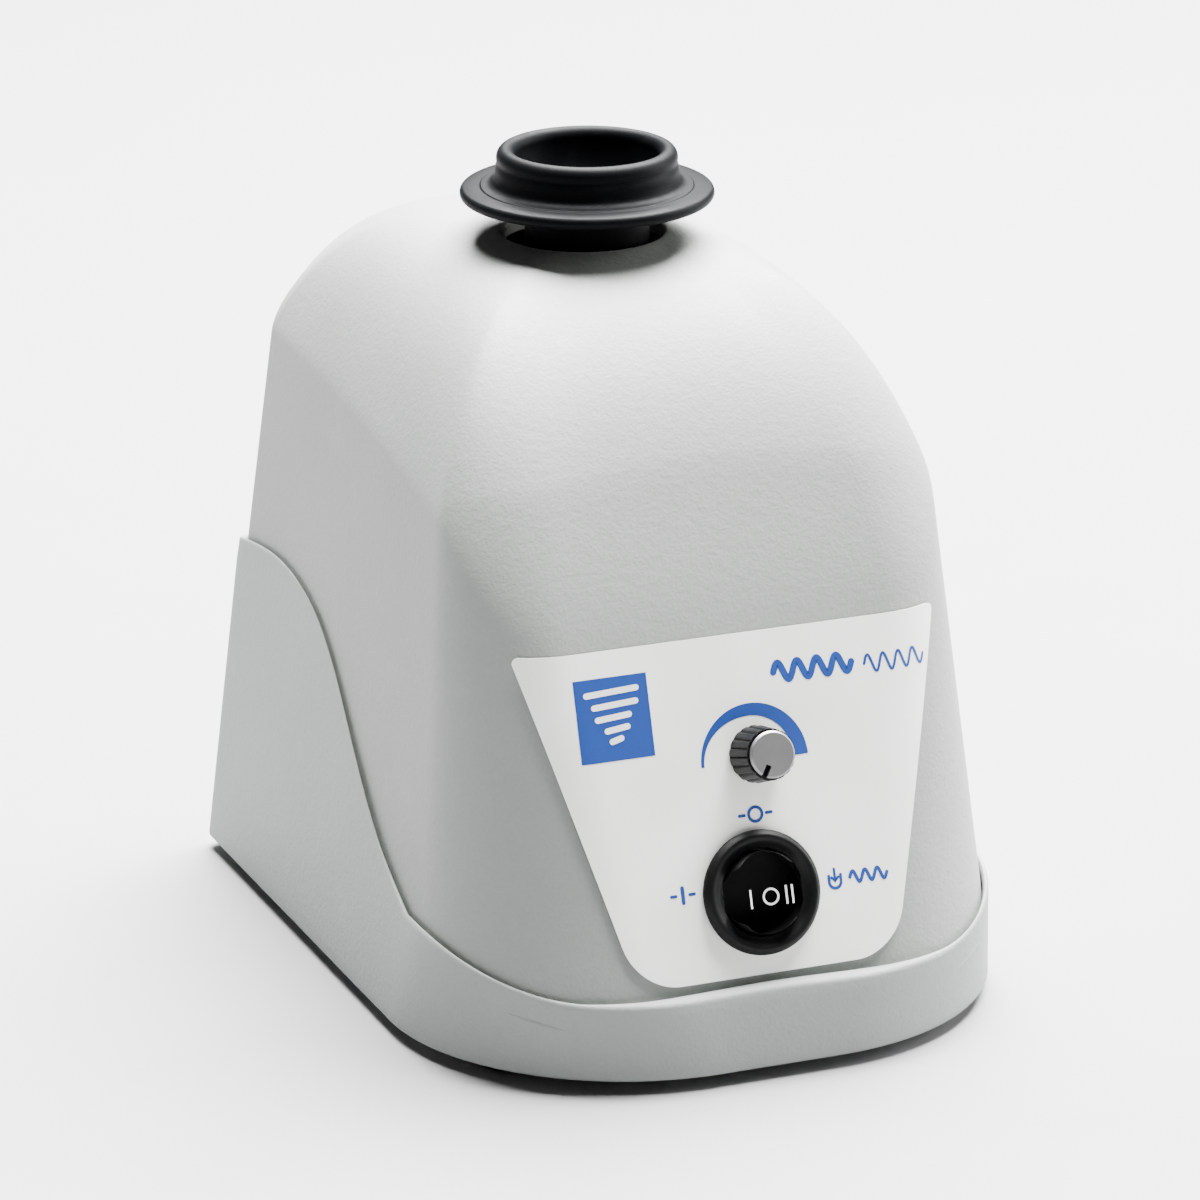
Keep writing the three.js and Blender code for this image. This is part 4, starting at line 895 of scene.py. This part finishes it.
def make_print():
    """Generic marks: a swirl panel, a speed arc that widens, wavy lines and symbols by the switch."""
    blue = bmesh.new()

    def draw(path, half):
        stroke(blue, path, even(path, half), INK_LIFT)

    square = line((-34.8, 55.7), (-19.0, 55.7), 16)
    stroke(blue, square, even(square, 8.4), INK_LIFT, round_ends=False)
    outer = arc((2.2, 43.45), 11.7, 180, 0)
    widths = [mix(0.7, 2.5, smooth(n / 24)) if n < 24 else mix(2.5, 3.3, (n - 24) / 24) for n in range(49)]
    middle = [Vector(p) + (Vector((2.2, 43.45)) - Vector(p)).normalized() * w / 2 for p, w in zip(outer, widths)]
    stroke(blue, middle, [w / 2 for w in widths], INK_LIFT, round_ends=False)
    draw(wave(8.4, 25.6, 60.6, 1.75, 4), 0.72)
    draw(wave(28.4, 42.2, 59.8, 1.75, 4), 0.3)
    draw(arc((0.9, 32.8), 1.45, 90, 450), 0.33)
    draw(line((-2.6, 32.8), (-1.5, 32.8)), 0.33)
    draw(line((3.3, 32.8), (4.4, 32.8)), 0.33)
    draw(line((-16.7, 17.2), (-16.7, 20.2)), 0.42)
    draw(line((-19.2, 18.7), (-18.2, 18.7)), 0.33)
    draw(line((-15.2, 18.7), (-14.2, 18.7)), 0.33)
    cup = [(15.2, 18.2), (15.2, 16.9)] + arc((16.5, 16.9), 1.3, 180, 360, 16) + [(17.8, 18.2)]
    draw(cup, 0.33)
    draw(line((16.5, 19.5), (16.5, 17.1)), 0.3)
    draw([(15.8, 17.8), (16.5, 17.1), (17.2, 17.8)], 0.3)
    draw(wave(19.8, 28.0, 17.4, 1.15, 3), 0.38)
    finish_print("label_print", blue, BLUE_LOOK)

    white = bmesh.new()
    bars = ((60.9, 0.0, 5.4), (58.3, 0.5, 4.5), (55.8, -0.1, 3.4), (53.4, 0.5, 2.2), (51.2, 0.1, 1.0))
    for up, shift, half in bars:
        bar = line((-26.9 + shift - half, up), (-26.9 + shift + half, up + 0.5), 8)
        stroke(white, bar, even(bar, 0.62), INK_LIFT + 0.05)
    finish_print("label_mark", white, WHITE_LOOK)


# ------------------------------------------------------------------ rubber cup

HEAD_FRAME = Matrix.Translation((0, AXIS_Y - ORBIT, FOOT_GAP))


def bead(centre, half_wide, half_tall, start, end, steps=18):
    angles = [math.radians(mix(start, end, n / steps)) for n in range(steps + 1)]
    return [(centre[0] + half_wide * math.cos(a), centre[1] + half_tall * math.sin(a)) for a in angles]


def make_cup():
    """Rubber cup: socket, thin stepped flange with a round rim, and a bead round the mouth."""
    below = [(0.02, 149.8), (10.4, 149.8), (10.4, 130), (13, 130), (13, 153.2), (14.4, 155.0), (25.2, 155.1)]
    rim = bead((25.3, 156.4), 1.2, 1.3, -90, 70, 12)
    above = [(23.2, 157.75), (22.3, 157.8), (22.1, 158.05), (20.6, 158.15), (19.5, 158.9), (19.25, 160.2),
             (19.2, 161.6), (18.9, 162.5), (18.8, 162.9)]
    roll = bead((16.95, 163.75), 1.95, 2.25, -12, 186, 26)
    inside = [(14.7, 161.2), (13.4, 157.6), (11.2, 155.0), (7.2, 153.4), (0.02, 152.7)]
    profile = rounded(below, 0.8) + rim + rounded(above, 0.7, 5) + roll + rounded(inside, 2.5, 6)
    cup = piece("cup_rubber", placed(turned(profile, 160), HEAD_FRAME), RUBBER_LOOK, "head", 50)
    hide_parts("rubber_cup")
    return cup


# ------------------------------------------------------------------ speed knob

KNOB = dict(base=5.9, tip=5.2, foot=1.2, top=9.3, flutes=18, groove=0.42, cap=4.8, cap_thick=0.8)


def make_knob():
    """Tapered black knob with fluted sides and a bevelled rim, hollow underneath."""
    columns = KNOB["flutes"] * 12

    def radius(column, share, depth):
        a = math.tau * column / 12
        groove = max(math.cos(a), 0) ** 3 * KNOB["groove"] * depth
        return mix(KNOB["base"], KNOB["tip"], share) - groove

    foot, top = KNOB["foot"], KNOB["top"]
    rows = [(5.0, 3.4, 0), (5.0, foot, 0), (None, foot, 0.0), (None, foot + 0.25, 0.7), (None, foot + 0.7, 1.0)]
    rows += [(None, mix(foot + 0.7, top - 0.7, n / 6), 1.0) for n in range(1, 7)]
    rows += [(None, top - 0.3, 0.85), (None, top - 0.05, 0.4), (4.95, top, 0)]

    def place(column, row):
        fixed, z, depth = rows[row]
        r = fixed or radius(column, (z - foot) / (top - foot), depth)
        if fixed is None and row == 2:
            r -= 0.2
        a = math.tau * column / columns
        return Vector((r * math.cos(a), r * math.sin(a), z))

    bm = grid_surface(columns, len(rows) - 1, place, True)
    bmesh.ops.holes_fill(bm, edges=[e for e in bm.edges if e.is_boundary])
    knob = piece("knob_grip", placed(bm, KNOB_FRAME), KNOB_LOOK, "knob", 40)
    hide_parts("speed_knob")

    profile = [(0.02, top + 0.3), (KNOB["cap"], top + 0.3), (KNOB["cap"], top + 0.72), (4.45, top + 1.1), (0.02, top + 1.1)]
    cap = piece("knob_face", placed(turned(profile, 120), KNOB_FRAME), FACE_LOOK, "knob", 25)
    notch = box_cutter(1.15, 3.4, 3, (0, 4.0, top + 0.7))
    turn = Matrix.Rotation(math.radians(-POINTER), 4, "Z")
    cut(cap, placed(placed(notch, turn), KNOB_FRAME))
    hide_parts("knob_cap")


POINTER = 210
FACE_LOOK = turned_metal("knob_face_look", rgb(138, 138, 138), 0.42, KNOB_FRAME.to_translation() * MM,
                         (math.pi / 2 - PANEL_LEAN, 0, 0))

# ------------------------------------------------------------------ power switch

ROCKER = dict(swing=8.0, reach=8.4, rise=4.9, pivot=-0.6)
BEZEL = dict(radius=12.7, foot=1.15, thick=2.1, gap=0.55)


def window_cutter(low, high):
    """Prism with round ends that the rocker swings in."""
    reach, half = ROCKER["reach"] + BEZEL["gap"], ROCKER["swing"] + BEZEL["gap"]
    bm = bmesh.new()
    ring = []
    for n in range(96):
        a = math.tau * n / 96
        ring.append(bm.verts.new((max(min(reach * math.cos(a), half), -half), reach * math.sin(a), low)))
    bmesh.ops.remove_doubles(bm, verts=ring, dist=0.0005)
    face = bm.faces.new(sorted(bm.verts, key=lambda v: math.atan2(v.co.y, v.co.x)))
    made = bmesh.ops.extrude_face_region(bm, geom=[face])
    bmesh.ops.translate(bm, vec=(0, 0, high - low), verts=[g for g in made["geom"] if isinstance(g, bmesh.types.BMVert)])
    return bm


def make_bezel():
    foot = BEZEL["foot"]
    profile = [(0.02, foot), (12.7, foot), (12.7, foot + 0.9), (11.6, foot + 2.1), (10.6, foot + 1.9), (9.3, foot + 0.9),
               (0.02, foot + 0.8)]
    bezel = piece("bezel_ring", placed(turned(rounded(profile, 0.8, 6), 144), SWITCH_FRAME), SWITCH_LOOK, "root", 40)
    cut(bezel, placed(window_cutter(-2, 8), SWITCH_FRAME))
    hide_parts("switch_bezel")


def rocker_outline():
    """Section of the rocker across the panel: round flanks about the pivot and a shallow dished top."""
    def flank(z):
        return math.sqrt(ROCKER["swing"] ** 2 - (z - ROCKER["pivot"]) ** 2)
    top = ROCKER["rise"]
    right = [(flank(z), z) for z in (-2.6, -1.6, -0.6, 0.4, 1.4, 2.4, 3.2, 3.9)]
    right += [(flank(3.9) - 0.35, 4.35), (flank(3.9) - 0.9, top - 0.25), (flank(3.9) - 1.5, top - 0.1)]
    dish = [(x, top - 0.1 - 0.9 * (1 - (x / 5.0) ** 2)) for x in (4.4, 3.3, 2.2, 1.1)]
    return right + dish + [(0, top - 1.0)] + [(-x, z) for x, z in reversed(right + dish)]


def make_rocker():
    bm = bmesh.new()
    ring = [bm.verts.new((x, -10, z)) for x, z in rocker_outline()]
    face = bm.faces.new(ring)
    made = bmesh.ops.extrude_face_region(bm, geom=[face])
    bmesh.ops.translate(bm, vec=(0, 20, 0), verts=[g for g in made["geom"] if isinstance(g, bmesh.types.BMVert)])
    rocker = piece("rocker_key", placed(bm, SWITCH_FRAME), SWITCH_LOOK, "rocker", 35)
    reach = ROCKER["reach"]
    round_off = turned(rounded([(0.02, -6), (reach, -6), (reach, 4.1), (reach - 0.8, 5.2), (0.02, 5.2)], 0.6, 5), 128)
    cut(rocker, placed(round_off, SWITCH_FRAME), operation="INTERSECT")
    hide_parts("power_rocker")
    make_rocker_marks()


def rocker_top(x, y, lift):
    top = ROCKER["rise"] - 0.1 - 0.9 * (1 - min(abs(x) / 5.0, 1) ** 2)
    return SWITCH_FRAME @ Vector((x, y, top + lift))


def make_rocker_marks():
    """White I, O and II on the rocker."""
    bm = bmesh.new()
    marks = [line((-3.6, -2.8), (-3.6, 1.0), 6), arc((0.9, -0.9), 1.55, 90, 450, 40),
             line((4.1, -2.8), (4.1, 1.0), 6), line((5.3, -2.8), (5.3, 1.0), 6)]
    for path in marks:
        path = [Vector(p) for p in path]
        rows = []
        for n, point in enumerate(path):
            along = path[min(n + 1, len(path) - 1)] - path[max(n - 1, 0)]
            side = Vector((-along.y, along.x)).normalized() * 0.21
            rows.append([bm.verts.new(rocker_top(*(point + side * t), 0.06)) for t in (1, -1)])
        for a, b in zip(rows, rows[1:]):
            bm.faces.new((a[0], a[1], b[1], b[0]))
    face_forward(bm)
    bmesh.ops.solidify(bm, geom=bm.faces[:], thickness=0.05)
    piece("rocker_marks", bm, WHITE_LOOK, "rocker")


# ------------------------------------------------------------------ pieces carried over from the frame

CARRIED = (
    (RUBBER_LOOK, ("foot_", "drive_gaiter")),
    (STEEL_LOOK, ("housing_screw_", "guide_pin_", "carriage_spring_", "motor_carriage", "motor_can", "motor_screw_",
                  "motor_shaft", "crank_hub", "cup_bearing", "touch_bracket", "touch_lever", "speed_pot", "pot_shaft",
                  "inlet_screw_")),
    (ALUMINIUM_LOOK, ("motor_end_bell", "cup_holder", "board_capacitor", "triac_heat_sink", "rating_plate")),
    (BRASS_LOOK, ("counterweight", "pot_nut", "switch_terminal_", "inlet_pin_")),
    (IRON_LOOK, ("base_weight",)),
    (SWITCH_LOOK, ("splash_guard", "touch_switch", "switch_body", "terminal_block", "inlet_housing")),
    (BOARD_LOOK, ("control_board",)),
    (WRAP_LOOK, ("board_transformer",)),
)


def dress_frame():
    for look, starts in CARRIED:
        for name, node in frame["nodes"].items():
            if name.startswith(starts):
                node.data.materials.clear()
                node.data.materials.append(look)


# ------------------------------------------------------------------ build

make_cover()
make_tray()
make_label()
make_print()
make_cup()
make_knob()
make_bezel()
make_rocker()
dress_frame()

# ------------------------------------------------------------------ floor, light and camera

FLOOR_LOOK = coated("floor_look", rgb(140, 140, 141), rgb(137, 137, 138), 0.05, 0.7, 0.00001)


def make_floor():
    bm = bmesh.new()
    bmesh.ops.create_grid(bm, x_segments=2, y_segments=2, size=4)
    mesh = bpy.data.meshes.new("floor")
    bm.to_mesh(mesh)
    bm.free()
    mesh.materials.append(FLOOR_LOOK)
    floor = bpy.data.objects.new("floor", mesh)
    bpy.context.scene.collection.objects.link(floor)


def soft_light(name, place, target, width, height, power):
    data = bpy.data.lights.new(name, "AREA")
    data.shape = "RECTANGLE"
    data.size = width
    data.size_y = height
    data.energy = power
    lamp = bpy.data.objects.new(name, data)
    lamp.location = place
    lamp.rotation_euler = (Vector(target) - Vector(place)).to_track_quat("-Z", "Y").to_euler()
    bpy.context.scene.collection.objects.link(lamp)


CENTRE = Vector((2.7, -0.2, 82.0)) * MM
VIEW_TURN = math.radians(22.5)
VIEW_RISE = math.radians(18.4)
VIEW_REACH = 1.4


def make_camera():
    data = bpy.data.cameras.new("camera")
    data.sensor_width = 36
    data.lens = 201
    data.shift_x = -0.025
    data.shift_y = -0.0292
    camera = bpy.data.objects.new("camera", data)
    back = Vector((-math.sin(VIEW_TURN) * math.cos(VIEW_RISE), -math.cos(VIEW_TURN) * math.cos(VIEW_RISE),
                   math.sin(VIEW_RISE)))
    camera.location = CENTRE + back * VIEW_REACH
    camera.rotation_euler = (-back).to_track_quat("-Z", "Y").to_euler()
    bpy.context.scene.collection.objects.link(camera)
    bpy.context.scene.camera = camera


make_floor()
soft_light("top_light", (0.4, 0.5, 1.4), (0, 0, 0.08), 1.35, 1.35, 600)
soft_light("right_light", (1.3, -0.15, 0.45), (0, 0, 0.08), 0.8, 0.8, 26)
soft_light("left_light", (-1.3, 0.6, 0.5), (0, 0, 0.08), 0.7, 0.7, 2)
make_camera()

sky = bpy.data.worlds.new("sky")
sky.use_nodes = True
sky.node_tree.nodes["Background"].inputs["Color"].default_value = (1, 1, 1, 1)
sky.node_tree.nodes["Background"].inputs["Strength"].default_value = 0.08
bpy.context.scene.world = sky

bpy.context.view_layer.update()
